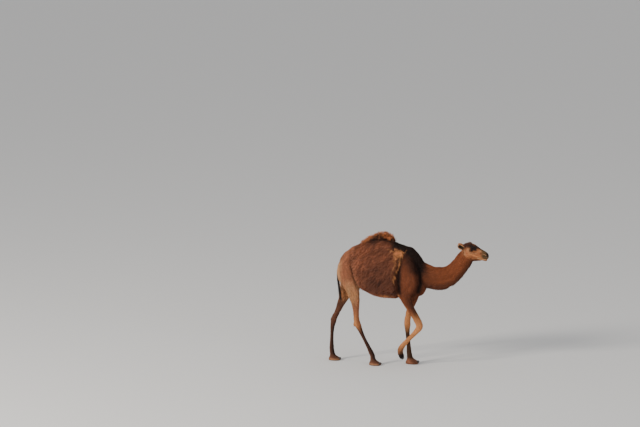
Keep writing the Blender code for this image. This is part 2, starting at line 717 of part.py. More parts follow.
def crest(parts):
    """The ridge of matted wool on the hump, its lobes fused."""
    line = smooth_columns(CREST_TOP, 8)
    lobes = []
    for i in range(CREST_LOBES):
        share = i / (CREST_LOBES - 1)
        x, z = line[round(share * (len(line) - 1))]
        sway = 0.008 * math.cos(2.4 * i)
        lobe = Mass(x, sway, z - CREST_HALF_HEIGHT, 0.036, CREST_HALF_WIDTH, CREST_HALF_HEIGHT, 14)
        lobes.append(ellipsoid(lobe, parts, "lobe"))
    return fused(joined(lobes, "hump_crest"), 0.008, 2, CREST_TRIANGLES)


def build_body(tools):
    """The whole body, fused, before it is parted."""
    pieces = [tube(TRUNK, tools, "core"), wool(tools), tube(HUMP, tools, "mound"), tube(NECK, tools, "throat")]
    legs = (FORELEG_RIGHT, FORELEG_LEFT, HINDLEG_RIGHT, HINDLEG_LEFT)
    pieces += [tube(leg, tools, "leg") for leg in legs]
    pieces += [foot(pose, tools) for pose in FEET]
    pieces += [ellipsoid(mass, tools, "mass") for mass in BODY_MASSES]
    pieces += head_pieces(tools)
    body = fused(joined(pieces, "body"), VOXEL, 5, BODY_TRIANGLES)
    floor = block_mesh(Block("floor", 0.4, 0, 0, 90, 0.2, 4, 2), 0, tools)
    cut(body, floor, "DIFFERENCE")
    bpy.data.objects.remove(floor)
    return body


def finish_part(obj, finish):
    """Gives a part its material, moves it into the row frame and shades it smooth."""
    obj.data.materials.clear()
    obj.data.materials.append(material(finish))
    obj.data.transform(Matrix.Translation((-BOX_MIDDLE_X, 0, 0)))
    obj.data.shade_smooth()
    obj.data.set_sharp_from_angle(angle=math.radians(50))


def new_collection(name):
    """A collection in the scene."""
    made = bpy.data.collections.new(name)
    bpy.context.scene.collection.children.link(made)
    return made


def main():
    for obj in list(bpy.data.objects):
        bpy.data.objects.remove(obj)
    parts = new_collection("dromedary_camel")
    tools = new_collection("tools")
    body = build_body(tools)
    tools.objects.unlink(body)
    parts.objects.link(body)
    made = part_body(body, parts, tools)
    for side, word in SIDES:
        eye = EYES._replace(y=side * EYES.y)
        seat_for(made["head"], eye, head_matrix(), EYE_SEGMENTS, tools)
        made["ear_" + word] = ear(side, parts)
        for host in ("head", "neck"):
            fit_on(made["ear_" + word], made[host], tools)
        made["eye_" + word] = ellipsoid(eye, parts, "eye_" + word, EYE_SEGMENTS)
        made["eye_" + word].data.transform(head_matrix())
    for pose in FEET:
        for side, word in SIDES:
            mass = Mass(NAIL_PLACE[0], side * NAIL_PLACE[1], NAIL_PLACE[2], *NAIL, 25)
            name = f"nail_{pose.leg}_{word}"
            made[name] = nail(name, mass, foot_matrix(pose), made["foot_" + pose.leg], parts, tools)
    for mass, (side, word) in zip(LIFTED_NAILS, SIDES):
        name = "nail_front_right_" + word
        made[name] = nail(name, mass, Matrix.Identity(4), made["foot_front_right"], parts, tools)
    made["tail"] = tail(parts)
    fit_on(made["tail"], made["trunk"], tools)
    made["hump_crest"] = crest(parts)
    fit_on(made["hump_crest"], made["hump"], tools)
    special = {"tail": TAIL_HAIR, "hump_crest": CREST}
    for name, obj in made.items():
        finish = special.get(name) or finish_of(name)
        if name.startswith("eye"):
            finish = EYE
        if name.startswith("nail"):
            finish = NAIL_HORN
        finish_part(obj, finish)
    tools.hide_render = True


main()
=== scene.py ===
"""Looks of the walking dromedary: one skin, its eyes and nails, and a coat of solid tufts.

Body coordinates run as in the CAD source: x ahead from under the hump, y to the animal's left and
z up, in metres. ROW_SHIFT takes them into the row frame when a mesh is made.
"""

import logging
import math
from dataclasses import dataclass, field
from enum import Enum
from typing import Callable

import bmesh
import bpy
import numpy as np
from mathutils import Matrix, Vector


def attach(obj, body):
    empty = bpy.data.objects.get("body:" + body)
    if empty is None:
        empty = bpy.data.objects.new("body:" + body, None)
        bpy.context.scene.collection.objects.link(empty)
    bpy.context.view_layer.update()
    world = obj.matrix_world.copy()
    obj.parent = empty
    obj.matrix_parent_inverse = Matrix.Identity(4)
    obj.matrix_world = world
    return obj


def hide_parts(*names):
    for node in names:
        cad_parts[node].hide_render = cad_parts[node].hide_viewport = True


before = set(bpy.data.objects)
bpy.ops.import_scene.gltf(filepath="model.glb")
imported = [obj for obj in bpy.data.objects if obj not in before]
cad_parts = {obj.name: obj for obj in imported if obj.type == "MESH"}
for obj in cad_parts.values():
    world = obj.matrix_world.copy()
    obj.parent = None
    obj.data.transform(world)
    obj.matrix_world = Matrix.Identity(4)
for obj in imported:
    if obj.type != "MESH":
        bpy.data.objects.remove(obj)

LOG = logging.getLogger("dromedary")
ROW_SHIFT = np.array((-0.478, 0.0, 0.0))
SIDES = ((1, "left"), (-1, "right"))
TAU = 2 * math.pi
SEED = 20261
Array = np.ndarray
Chance = np.random.Generator


def metres(seventh: float, *rows: tuple) -> tuple:
    """Rows of six lengths in millimetres, as metres, each closed by its own or the given number."""
    return tuple((*(v / 1000 for v in row[:6]), *(row[6:] or (seventh,))) for row in rows)


# Stations of each tube: x, y, z, half sizes fore, aft and wide, and the power of its superellipse.
TRUNK = metres(
    2,
    (-590, 0, 1380, 70, 100, 50), (-550, 0, 1380, 170, 160, 120), (-475, 0, 1390, 285, 220, 190),
    (-360, 0, 1400, 360, 220, 225), (-220, 0, 1380, 395, 200, 232), (-50, 0, 1350, 430, 230, 255),
    (120, 0, 1340, 450, 270, 270), (280, 0, 1340, 460, 285, 262), (400, 0, 1340, 465, 290, 232),
    (520, 0, 1330, 470, 300, 200), (620, 0, 1340, 405, 285, 165), (690, 0, 1360, 280, 240, 130),
    (745, 0, 1380, 160, 150, 80),
)
WOOL = metres(
    2,
    (-345, 0, 1430, 270, 160, 200), (-260, 0, 1410, 345, 205, 245), (-130, 0, 1370, 400, 245, 275),
    (20, 0, 1345, 435, 290, 297), (160, 0, 1340, 450, 308, 304), (280, 0, 1340, 455, 306, 297),
    (335, 0, 1340, 455, 302, 287), (360, 0, 1340, 445, 290, 268),
)
# Heights of the wool's front edge and how far it leans ahead at each.
WOOL_EDGE = ((1.1, 0.06), (1.36, 0.0), (1.52, 0.0), (1.68, 0.15))
HUMP = metres(
    2,
    (-480, 0, 1560, 60, 50, 105), (-430, 0, 1570, 145, 50, 140, 1.9),
    (-330, 0, 1580, 222, 50, 175, 1.8), (-150, 0, 1580, 312, 50, 212, 1.75),
    (40, 0, 1580, 384, 50, 226, 1.7), (190, 0, 1580, 362, 50, 216, 1.7),
    (330, 0, 1580, 306, 50, 180, 1.8), (460, 0, 1580, 264, 50, 130), (570, 0, 1580, 232, 50, 105, 2.2),
    (640, 0, 1580, 168, 50, 90, 2.2), (695, 0, 1580, 96, 50, 80, 2.2), (745, 0, 1580, 20, 40, 40),
)
NECK = metres(
    2,
    (530, 0, 1420, 200, 235, 150), (690, 0, 1405, 195, 230, 135), (800, 0, 1385, 178, 185, 117),
    (900, 2, 1365, 165, 175, 103), (1000, 6, 1360, 171, 179, 96), (1105, 12, 1390, 155, 171, 89),
    (1205, 20, 1464, 134, 155, 81), (1290, 30, 1562, 126, 148, 75), (1360, 38, 1660, 122, 142, 72),
    (1410, 42, 1745, 100, 120, 66),
)
# The head runs straight ahead here, and is turned with HEAD_TURN.
HEAD = metres(
    2,
    (1335, 0, 1815, 45, 60, 45), (1370, 0, 1800, 93, 115, 77), (1426, 0, 1776, 132, 148, 87),
    (1489, 0, 1760, 130, 142, 83), (1546, 0, 1748, 108, 125, 67), (1599, 0, 1736, 83, 109, 54),
    (1649, 0, 1721, 68, 90, 48), (1688, 0, 1704, 57, 64, 46), (1714, 0, 1690, 40, 44, 37),
    (1730, 0, 1682, 15, 18, 16),
)
FORELEG_RIGHT = metres(
    2,
    (490, -120, 1640, 85, 85, 50), (535, -165, 1520, 125, 105, 66), (560, -178, 1380, 138, 130, 76),
    (550, -176, 1250, 130, 130, 76), (495, -166, 1120, 105, 105, 68), (522, -156, 1010, 80, 80, 58),
    (582, -150, 890, 63, 64, 51), (648, -145, 765, 68, 50, 46), (697, -141, 678, 63, 50, 49),
    (708, -140, 615, 58, 50, 49), (660, -138, 540, 42, 42, 40), (572, -134, 445, 33, 36, 33),
    (487, -130, 355, 36, 40, 35), (440, -128, 300, 42, 42, 40), (418, -127, 255, 46, 45, 42),
    (418, -127, 205, 42, 44, 54), (428, -127, 165, 38, 38, 50),
)
FORELEG_LEFT = metres(
    2,
    (490, 120, 1640, 85, 85, 50), (550, 165, 1520, 120, 105, 66), (598, 178, 1380, 128, 130, 76),
    (603, 176, 1250, 122, 130, 76), (565, 166, 1120, 98, 110, 68), (550, 156, 1010, 76, 80, 58),
    (512, 150, 890, 60, 62, 51), (476, 145, 760, 50, 50, 44), (460, 141, 665, 49, 49, 48),
    (456, 140, 600, 54, 47, 49), (461, 138, 525, 40, 40, 38), (472, 134, 400, 31, 34, 31),
    (486, 130, 270, 33, 37, 34), (492, 128, 190, 38, 42, 39), (496, 127, 130, 38, 40, 40),
)
HINDLEG_RIGHT = metres(
    2,
    (-420, -110, 1570, 100, 110, 55), (-425, -158, 1460, 118, 115, 80),
    (-400, -172, 1360, 138, 125, 88), (-352, -172, 1250, 132, 130, 86),
    (-310, -163, 1140, 106, 110, 76), (-288, -154, 1020, 78, 83, 62), (-277, -147, 900, 60, 63, 50),
    (-271, -142, 780, 48, 51, 41), (-262, -138, 680, 44, 52, 40), (-243, -135, 605, 49, 50, 44),
    (-206, -133, 520, 37, 36, 36), (-148, -130, 400, 28, 29, 28), (-82, -128, 275, 31, 33, 31),
    (-40, -127, 192, 37, 40, 37), (-12, -127, 130, 37, 38, 37),
)
HINDLEG_LEFT = metres(
    2,
    (-430, 110, 1570, 100, 110, 55), (-448, 158, 1460, 118, 115, 80), (-452, 172, 1340, 132, 125, 88),
    (-462, 172, 1215, 125, 128, 86), (-492, 163, 1095, 103, 105, 76), (-540, 154, 980, 77, 80, 62),
    (-593, 147, 862, 59, 62, 50), (-640, 142, 750, 46, 48, 40), (-680, 138, 665, 42, 50, 40),
    (-702, 135, 600, 46, 44, 44), (-716, 133, 520, 36, 35, 36), (-723, 130, 400, 28, 29, 28),
    (-726, 128, 275, 31, 32, 31), (-726, 127, 192, 37, 38, 37), (-722, 127, 130, 37, 38, 37),
)
TAIL = metres(
    2,
    (-500, 0, 1490, 26, 26, 30), (-540, 0, 1478, 23, 23, 26), (-578, 0, 1450, 19, 19, 22),
    (-597, 2, 1390, 14, 14, 16), (-596, 4, 1290, 10, 10, 11), (-582, 6, 1180, 9, 9, 10),
    (-570, 8, 1080, 8, 8, 9), (-560, 10, 1010, 6, 6, 6),
)
# Level outlines of a foot: height, centre ahead of the fetlock, half length and width, and cleft.
FOOT = (
    (-0.012, 0.046, 0.09, 0.072, 0.06),
    (0.006, 0.048, 0.105, 0.085, 0.13),
    (0.026, 0.046, 0.103, 0.083, 0.15),
    (0.045, 0.039, 0.09, 0.072, 0.13),
    (0.065, 0.028, 0.07, 0.059, 0.08),
    (0.092, 0.014, 0.051, 0.047, 0.03),
    (0.13, 0.004, 0.044, 0.044, 0.0),
    (0.175, 0.0, 0.04, 0.04, 0.0),
)
# Standing feet: leg, fetlock's x and y, splay in degrees and size.
FEET = (
    ("front_left", 0.494, 0.128, 6, 1.0),
    ("hind_right", -0.02, -0.127, -7, 0.92),
    ("hind_left", -0.722, 0.127, 7, 0.92),
)
# Muscles, bones and pads: x, y, z, half sizes in x, y and z, and the tilt in the side view.
BODY_MASSES = metres(
    0,
    (500, 0, 1035, 120, 85, 52), (690, 0, 1200, 70, 110, 110), (-528, 80, 1420, 60, 75, 150),
    (-528, -80, 1420, 60, 75, 150), (425, -166, 1085, 50, 40, 55), (480, 166, 1085, 50, 40, 55),
    (-294, -143, 628, 24, 22, 50, 10), (-725, 143, 635, 24, 22, 50, 20),
    (432, -160, 168, 54, 31, 35, 75), (432, -94, 168, 54, 31, 35, 75),
)
HEAD_PAIRS = metres(
    0,
    (1470, 68, 1832, 42, 27, 21, 12), (1484, 60, 1768, 50, 26, 20, 10),
    (1428, 58, 1722, 60, 30, 62, 10), (1668, 22, 1742, 40, 24, 28, 35),
    (1702, 18, 1690, 30, 22, 30, 20),
)
CHIN = metres(0, (1664, 0, 1652, 48, 34, 20, 8))
CREST_TOP = (
    (-0.215, 1.885), (-0.165, 1.935), (-0.105, 1.966), (-0.027, 1.998), (0.045, 2.026), (0.11, 2.042),
    (0.165, 2.044), (0.218, 2.028), (0.262, 2.001), (0.3, 1.966),
)
NAIL = (0.02, 0.017, 0.013)  # half sizes of a nail: along, across and high
EYE = (1.468, 0.0725, 1.8)
EYE_RADIUS = 0.0205
HEAD_TURN = math.radians(10)
HEAD_PIVOT = (1.36, 0.0, 1.75)


# ---- shapes


@dataclass
class Surface:
    """A mesh as arrays: points, four-sided faces and three-sided faces."""

    points: Array
    quads: Array = field(default_factory=lambda: np.zeros((0, 4), int))
    tris: Array = field(default_factory=lambda: np.zeros((0, 3), int))

    def triangles(self) -> Array:
        """Every face as triangles: a quad is parted along its first diagonal."""
        return np.concatenate([self.quads[:, [0, 1, 2]], self.quads[:, [0, 2, 3]], self.tris])

    def normals(self) -> Array:
        """Unit normals at the points: the sum of the area vectors of the triangles round each.

        Returns:
            A normal for each point.
        """
        t = self.triangles()
        a, b, c = (self.points[t[:, i]] for i in range(3))
        area = np.cross(b - a, c - a)
        total = np.zeros_like(self.points)
        for k in range(3):
            weights = np.tile(area[:, k], 3)
            total[:, k] = np.bincount(t.T.ravel(), weights, len(self.points))
        return unit(total)

    def moved(self, matrix: Matrix) -> "Surface":
        """The surface taken through a 4 x 4 matrix."""
        m = np.array(matrix)
        return Surface(self.points @ m[:3, :3].T + m[:3, 3], self.quads, self.tris)


def unit(v: Array) -> Array:
    """Rows of v at length 1."""
    return v / np.maximum(np.linalg.norm(v, axis=-1, keepdims=True), 1e-12)


def ramp(x: Array, low: float, high: float) -> Array:
    """A smooth step: 0 at low, 1 at high, with 3t^2 - 2t^3 between. High may lie below low."""
    t = np.clip((x - low) / (high - low), 0, 1)
    return t * t * (3 - 2 * t)


def bell(t: Array) -> Array:
    """A Gaussian: exp(-t^2)."""
    return np.exp(-(t**2))


def hill(x: Array, z: Array, at: tuple, size: tuple) -> Array:
    """A Gaussian about a place in the side view, with its own width in x and in z."""
    return np.exp(-(((x - at[0]) / size[0]) ** 2) - ((z - at[1]) / size[1]) ** 2)


def turned_round(count: int) -> Array:
    """So many angles round a circle, as one row."""
    return np.linspace(0, TAU, count, endpoint=False)[None, :]


def dot(a: Array, b: Array) -> Array:
    """The product of each row of a with the same row of b."""
    return np.einsum("ij,ij->i", a, b)


def laid(lie: Array, n: Array) -> Array:
    """Directions laid flat on a surface: what runs along its normals is taken off."""
    return unit(lie - n * dot(lie, n)[:, None])


def eased(v: Array, limit: float, give: float, over: float) -> Array:
    """Values held near a limit: past it they rise by give * tanh(excess / over)."""
    return np.where(v > limit, limit + give * np.tanh((v - limit) / over), v)


def joined(surfaces: list[Surface]) -> Surface:
    """One surface that holds all of them.

    Args:
        surfaces: the ones to join.

    Returns:
        The one surface.
    """
    starts = np.cumsum([0] + [len(s.points) for s in surfaces])
    points = np.concatenate([s.points for s in surfaces])
    quads = np.concatenate([s.quads + n for s, n in zip(surfaces, starts)])
    tris = np.concatenate([s.tris + n for s, n in zip(surfaces, starts)])
    return Surface(points, quads, tris)


def smooth_rows(table: tuple, count: int) -> Array:
    """Rows between the table's rows, on cubics whose slopes never overshoot (Fritsch-Carlson).

    Args:
        table: rows of numbers.
        count: rows made for each step of the table.

    Returns:
        The rows, closed by the last one.
    """
    rows = np.array(table, float)
    steps = np.diff(rows, axis=0)
    before, after = steps[:-1], steps[1:]
    total = before + after
    inner = np.where(before * after > 0, 2 * before * after / np.where(total == 0, 1, total), 0)
    slopes = np.vstack([steps[:1], inner, steps[-1:]])
    t = np.linspace(0, 1, count, endpoint=False)[None, :, None]
    low, high = rows[:-1, None], rows[1:, None]
    s0, s1 = slopes[:-1, None], slopes[1:, None]
    made = (2 * t**3 - 3 * t**2 + 1) * low + (t**3 - 2 * t**2 + t) * s0
    made = made + (3 * t**2 - 2 * t**3) * high + (t**3 - t**2) * s1
    return np.vstack([made.reshape(-1, rows.shape[1]), rows[-1:]])


def smooth_path(points: tuple, count: int) -> Array:
    """Points between the given ones, on a Catmull-Rom curve.

    Args:
        points: the corners.
        count: points made for each step.

    Returns:
        The points, closed by the last one.
    """
    p = np.array(points, float)
    p = np.vstack([2 * p[0] - p[1], p, 2 * p[-1] - p[-2]])
    t = np.linspace(0, 1, count, endpoint=False)[None, :, None]
    a, b, c, d = (p[i : len(p) - 3 + i, None] for i in range(4))
    made = b + 0.5 * t * ((c - a) + t * (2 * a - 5 * b + 4 * c - d + t * (3 * b - a - 3 * c + d)))
    return np.vstack([made.reshape(-1, p.shape[1]), p[-2:-1]])


@dataclass
class Line:
    """A tube's middle line: centres, the direction along it, the one across it and half sizes."""

    centres: Array
    along: Array
    across: Array
    sizes: Array

    @classmethod
    def of(cls, stations: tuple, between: int) -> "Line":
        """The middle line of a tube, with so many steps between its stations.

        Args:
            stations: rows of centre, half sizes and power.
            between: steps from one station to the next.

        Returns:
            The line, whose across direction stands square to the path in the side view.
        """
        centres = smooth_path([s[:3] for s in stations], between)
        along = np.gradient(centres, axis=0)
        along[:, 1] = 0
        along = unit(along)
        across = np.stack([-along[:, 2], np.zeros(len(along)), along[:, 0]], axis=1)
        return cls(centres, along, across, smooth_rows([s[3:] for s in stations], between))


def tube_rings(stations: tuple, around: int = 40, between: int = 6) -> Array:
    """Rings of superellipses across a path: side = |cos|^(2/p) wide, rise = |sin|^(2/p) fore or aft.

    Args:
        stations: the sections along the path.
        around: points in a ring.
        between: rings made for each step.

    Returns:
        An array of rings of points.
    """
    line = Line.of(stations, between)
    angle = turned_round(around)
    fore, aft, wide, power = (line.sizes[:, i : i + 1] for i in range(4))
    c, s = np.cos(angle), np.sin(angle)
    side = np.sign(c) * np.abs(c) ** (2 / power) * wide
    rise = np.sign(s) * np.abs(s) ** (2 / power) * np.where(s > 0, fore, aft)
    rings = line.centres[:, None] + rise[..., None] * line.across[:, None]
    rings[..., 1] += side
    return rings


def lofted(rings: Array, capped: bool = True) -> Surface:
    """A surface over rings of points, each end closed by a fan to its middle.

    Args:
        rings: points in an array of rings by points round each by 3.
        capped: whether the two ends are closed.

    Returns:
        The surface.
    """
    count, around = rings.shape[:2]
    i = np.arange(count - 1)[:, None] * around
    j = np.arange(around)[None, :]
    k = (j + 1) % around
    quads = np.stack([i + j, i + k, i + around + k, i + around + j], axis=-1).reshape(-1, 4)
    points = rings.reshape(-1, 3)
    if not capped:
        return Surface(points, quads)
    points = np.vstack([points, rings[0].mean(0), rings[-1].mean(0)])
    near, far = np.full(around, count * around), np.full(around, count * around + 1)
    last = (count - 1) * around
    first = np.stack([near, k[0], j[0]], axis=1)
    final = np.stack([far, last + j[0], last + k[0]], axis=1)
    return Surface(points, quads, np.vstack([first, final]))


def outward(surface: Surface) -> Surface:
    """The closed surface with its faces turned out: its signed volume decides.

    Args:
        surface: one closed surface.

    Returns:
        The surface.
    """
    t = surface.points[surface.triangles()]
    if dot(t[:, 0], np.cross(t[:, 1], t[:, 2])).sum() > 0:
        return surface
    return Surface(surface.points, surface.quads[:, ::-1], surface.tris[:, ::-1])


def tube(stations: tuple, around: int = 40, between: int = 6) -> Surface:
    """The closed surface over a path's superellipses."""
    return outward(lofted(tube_rings(stations, around, between)))


def ellipsoid(mass: tuple, segments: int = 32) -> Surface:
    """A ball stretched to the mass's half sizes and tilted in the side view.

    Args:
        mass: centre, half sizes and tilt in degrees.
        segments: points round it.

    Returns:
        The surface.
    """
    u = turned_round(segments)
    v = np.linspace(0.04, math.pi - 0.04, segments // 2)[:, None]
    ball = np.stack([np.sin(v) * np.cos(u), np.sin(v) * np.sin(u), np.cos(v) + 0 * u], axis=-1)
    tilt = Matrix.Rotation(math.radians(mass[6]), 4, "Y")
    place = Matrix.Translation(mass[:3]) @ tilt @ Matrix.Diagonal((*mass[3:6], 1))
    return outward(lofted(ball).moved(place))


def head_matrix() -> Matrix:
    """The head's turn about its pivot, with the neck's step to the side.

    Returns:
        The matrix that takes the straight head to its place.
    """
    pivot = Matrix.Translation(HEAD_PIVOT)
    shift = Matrix.Translation((0, NECK[-2][1], 0))
    return shift @ pivot @ Matrix.Rotation(HEAD_TURN, 4, "Z") @ pivot.inverted()


def foot_matrix(pose: tuple) -> Matrix:
    """Takes a foot from under the origin to its place on the floor."""
    turn = Matrix.Rotation(math.radians(pose[3]), 4, "Z")
    return Matrix.Translation((pose[1], pose[2], 0)) @ turn @ Matrix.Scale(pose[4], 4)


def foot_surface() -> Surface:
    """A foot under its fetlock: ellipses notched between the toes by a Gaussian of the angle.

    Returns:
        The surface, about the fetlock.
    """
    levels = smooth_rows(FOOT, 5)[:, :, None]
    angle = turned_round(72)
    notch = bell(np.minimum(angle, TAU - angle) / 0.26)
    height, ahead, length, width, cleft = (levels[:, i] for i in range(5))
    x = ahead + length * np.cos(angle) * (1 - 1.25 * cleft * notch)
    y = width * np.sin(angle) * (1 + 0.08 * np.cos(angle))
    return outward(lofted(np.stack([x, y, height + 0 * x], axis=-1)))


def wool_surface() -> Surface:
    """The barrel's wool, its front edge leaned ahead by the cube of the way along it.

    Returns:
        The closed surface.
    """
    rings = tube_rings(WOOL, 60)
    heights, leans = zip(*WOOL_EDGE)
    share = np.linspace(0, 1, len(rings))[:, None] ** 3
    rings[..., 0] += np.interp(rings[..., 2], heights, leans) * share
    return outward(lofted(rings))


# ---- Blender objects


def new_mesh(name: str, surface: Surface, tone: Array | None = None) -> bpy.types.Mesh:
    """A Blender mesh of the surface, moved into the row frame.

    Args:
        name: the mesh's name.
        surface: its points and faces in body coordinates.
        tone: a colour for each point, kept in the attribute Tone.

    Returns:
        The mesh, shaded smooth.
    """
    mesh = bpy.data.meshes.new(name)
    q, t = surface.quads, surface.tris
    mesh.vertices.add(len(surface.points))
    mesh.loops.add(q.size + t.size)
    mesh.polygons.add(len(q) + len(t))
    mesh.vertices.foreach_set("co", (surface.points + ROW_SHIFT).astype(np.float32).ravel())
    starts = np.concatenate([np.arange(len(q)) * 4, q.size + np.arange(len(t)) * 3])
    mesh.polygons.foreach_set("loop_start", starts.astype(np.int32))
    mesh.loops.foreach_set("vertex_index", np.concatenate([q.ravel(), t.ravel()]).astype(np.int32))
    mesh.update(calc_edges=True)
    mesh.validate()
    mesh.shade_smooth()
    if tone is not None:
        add_tone(mesh, tone)
    return mesh


def add_tone(mesh: bpy.types.Mesh, tone: Array) -> None:
    """Keeps a colour for each point in the attribute Tone.

    Args:
        mesh: the one to keep it.
        tone: a linear colour for each point.
    """
    colours = np.concatenate([tone, np.ones((len(tone), 1))], axis=1).astype(np.float32)
    layer = mesh.attributes.new("Tone", "FLOAT_COLOR", "POINT")
    layer.data.foreach_set("color", colours.ravel())


def add_values(mesh: bpy.types.Mesh, name: str, values: Array) -> None:
    """Keeps a number or a vector for each point in an attribute of this name.

    Args:
        mesh: the one to keep it.
        name: the attribute's name.
        values: a row for each point.
    """
    kind, key = ("FLOAT", "value") if values.ndim == 1 else ("FLOAT_VECTOR", "vector")
    layer = mesh.attributes.new(name, kind, "POINT")
    layer.data.foreach_set(key, values.astype(np.float32).ravel())


def linked(name: str, data: bpy.types.ID) -> bpy.types.Object:
    """A new object in the scene that holds this mesh, light or camera.

    Args:
        name: the object's name.
        data: what it holds.

    Returns:
        The object.
    """
    made = bpy.data.objects.new(name, data)
    bpy.context.scene.collection.objects.link(made)
    return made


def new_object(name: str, mesh: bpy.types.Mesh, finish: bpy.types.Material) -> bpy.types.Object:
    """An object at the origin that shows the mesh in this material."""
    mesh.materials.append(finish)
    return linked(name, mesh)


def surface_of(mesh: bpy.types.Mesh) -> Surface:
    """The arrays of a mesh of triangles and quads, in body coordinates.

    Args:
        mesh: the one to read.

    Returns:
        The surface.
    """
    points = np.empty(len(mesh.vertices) * 3, np.float32)
    mesh.vertices.foreach_get("co", points)
    corners = np.empty(len(mesh.loops), np.int32)
    mesh.loops.foreach_get("vertex_index", corners)
    starts, sizes = (np.empty(len(mesh.polygons), np.int32) for _ in range(2))
    mesh.polygons.foreach_get("loop_start", starts)
    mesh.polygons.foreach_get("loop_total", sizes)
    quads = corners[starts[sizes == 4][:, None] + np.arange(4)]
    tris = corners[starts[sizes == 3][:, None] + np.arange(3)]
    return Surface(points.reshape(-1, 3).astype(float) - ROW_SHIFT, quads, tris)


def remeshed(surface: Surface, voxel: float, rounds: int) -> Surface:
    """Overlapping closed surfaces fused into one smooth skin.

    Args:
        surface: all of them, joined.
        voxel: the grain of the new skin.
        rounds: how often each point moves half way to its neighbours' middle.

    Returns:
        The fused surface.
    """
    mesh = new_mesh("fused", surface)
    made = linked("fused", mesh)
    grain = made.modifiers.new("grain", "REMESH")
    grain.mode, grain.voxel_size = "VOXEL", voxel
    relax = made.modifiers.new("relax", "SMOOTH")
    relax.factor, relax.iterations = 0.5, rounds
    result = made.evaluated_get(bpy.context.evaluated_depsgraph_get()).to_mesh()
    found = surface_of(result)
    bpy.data.objects.remove(made)
    bpy.data.meshes.remove(mesh)
    return found


# ---- anatomy


def to_head(points: Array) -> Array:
    """Points in the straight head's own coordinates, which its details are written in."""
    m = np.array(head_matrix().inverted())
    return points @ m[:3, :3].T + m[:3, 3]


def from_head(points: Array) -> Array:
    """Points of the straight head, turned with it."""
    m = np.array(head_matrix())
    return points @ m[:3, :3].T + m[:3, 3]


def gap_to(points: Array, path: tuple) -> Array:
    """Distance of each point from a path of corners: the least over its segments.

    Args:
        points: in the plane or in space.
        path: the corners, in order.

    Returns:
        A distance for each point.
    """
    p = np.array(path, float)
    best = np.full(len(points), np.inf)
    for a, b in zip(p[:-1], p[1:]):
        t = np.clip((points - a) @ (b - a) / ((b - a) @ (b - a)), 0, 1)
        best = np.minimum(best, np.linalg.norm(points - a - t[:, None] * (b - a), axis=1))
    return best


@dataclass(frozen=True)
class Stroke:
    """A ridge or a groove along a line in the side view, with a Gaussian section."""

    width: float
    height: float
    inner: float  # how far from the middle plane it starts
    path: tuple
    side: int = 0  # 1 left, -1 right, 0 both

    def lift(self, p: Array) -> Array:
        """How far each point rises: height times exp(-(distance / width)^2).

        Args:
            p: points in body coordinates.

        Returns:
            A rise for each point.
        """
        rise = self.height * bell(gap_to(p[:, [0, 2]], self.path) / self.width)
        rise *= ramp(np.abs(p[:, 1]), self.inner - 0.02, self.inner + 0.02)
        return rise * (1 if not self.side else p[:, 1] * self.side > 0)


# Muscles and folds of the trunk, thighs, shoulders and neck: width, height, inner, path and side.
STROKES = (
    Stroke(
        0.02, -0.022, 0.1,
        ((-0.36, 1.62), (-0.335, 1.5), (-0.29, 1.36), (-0.235, 1.22), (-0.2, 1.14)),
    ),
    Stroke(0.035, 0.01, 0.1, ((-0.27, 1.4), (-0.22, 1.26), (-0.17, 1.16))),
    Stroke(0.022, -0.02, 0.14, ((0.425, 1.56), (0.405, 1.4), (0.4, 1.25), (0.42, 1.12))),
    Stroke(0.03, 0.01, 0.05, ((0.53, 1.7), (0.6, 1.5), (0.655, 1.36))),
    Stroke(0.02, 0.006, 0.12, ((0.5, 1.66), (0.53, 1.5), (0.55, 1.42))),
    Stroke(0.03, 0.008, 0.17, ((0.55, 1.3), (0.46, 1.16))),
    Stroke(0.022, -0.014, 0.07, ((0.7, 1.56), (0.715, 1.42), (0.7, 1.28), (0.665, 1.16))),
    Stroke(0.018, -0.005, 0.17, ((0.58, 1.24), (0.545, 1.12), (0.56, 1.02))),
    Stroke(
        0.028, -0.005, 0.03,
        ((0.82, 1.31), (0.91, 1.28), (1.0, 1.28), (1.09, 1.32), (1.18, 1.4), (1.27, 1.52)),
    ),
    Stroke(
        0.03, -0.003, 0.03,
        ((0.86, 1.44), (0.96, 1.43), (1.06, 1.44), (1.15, 1.49), (1.24, 1.58), (1.31, 1.68)),
    ),
    Stroke(0.02, -0.006, 0.1, ((-0.5, 1.55), (-0.47, 1.42), (-0.46, 1.25))),
    Stroke(0.03, 0.008, 0.08, ((-0.38, 1.6), (-0.45, 1.66))),
    Stroke(0.012, -0.004, 0.16, ((-0.315, 1.1), (-0.3, 0.96), (-0.29, 0.86)), -1),
    Stroke(0.012, -0.004, 0.16, ((-0.505, 1.08), (-0.56, 0.94), (-0.605, 0.84)), 1),
)

LEGS = ("foreleg_right", "foreleg_left", "hindleg_right", "hindleg_left")
# Added stations that run each leg's middle line down through its foot.
FOOT_ENDS = (
    metres(2, (436, -127, 120, 50, 50, 60), (446, -127, 85, 40, 40, 50)),
    metres(2, (515, 129, 70, 70, 60, 60), (545, 131, 20, 100, 90, 80)),
    metres(2, (8, -129, 70, 60, 60, 60), (35, -131, 20, 90, 90, 80)),
    metres(2, (-702, 129, 70, 60, 60, 60), (-675, 131, 20, 90, 90, 80)),
)


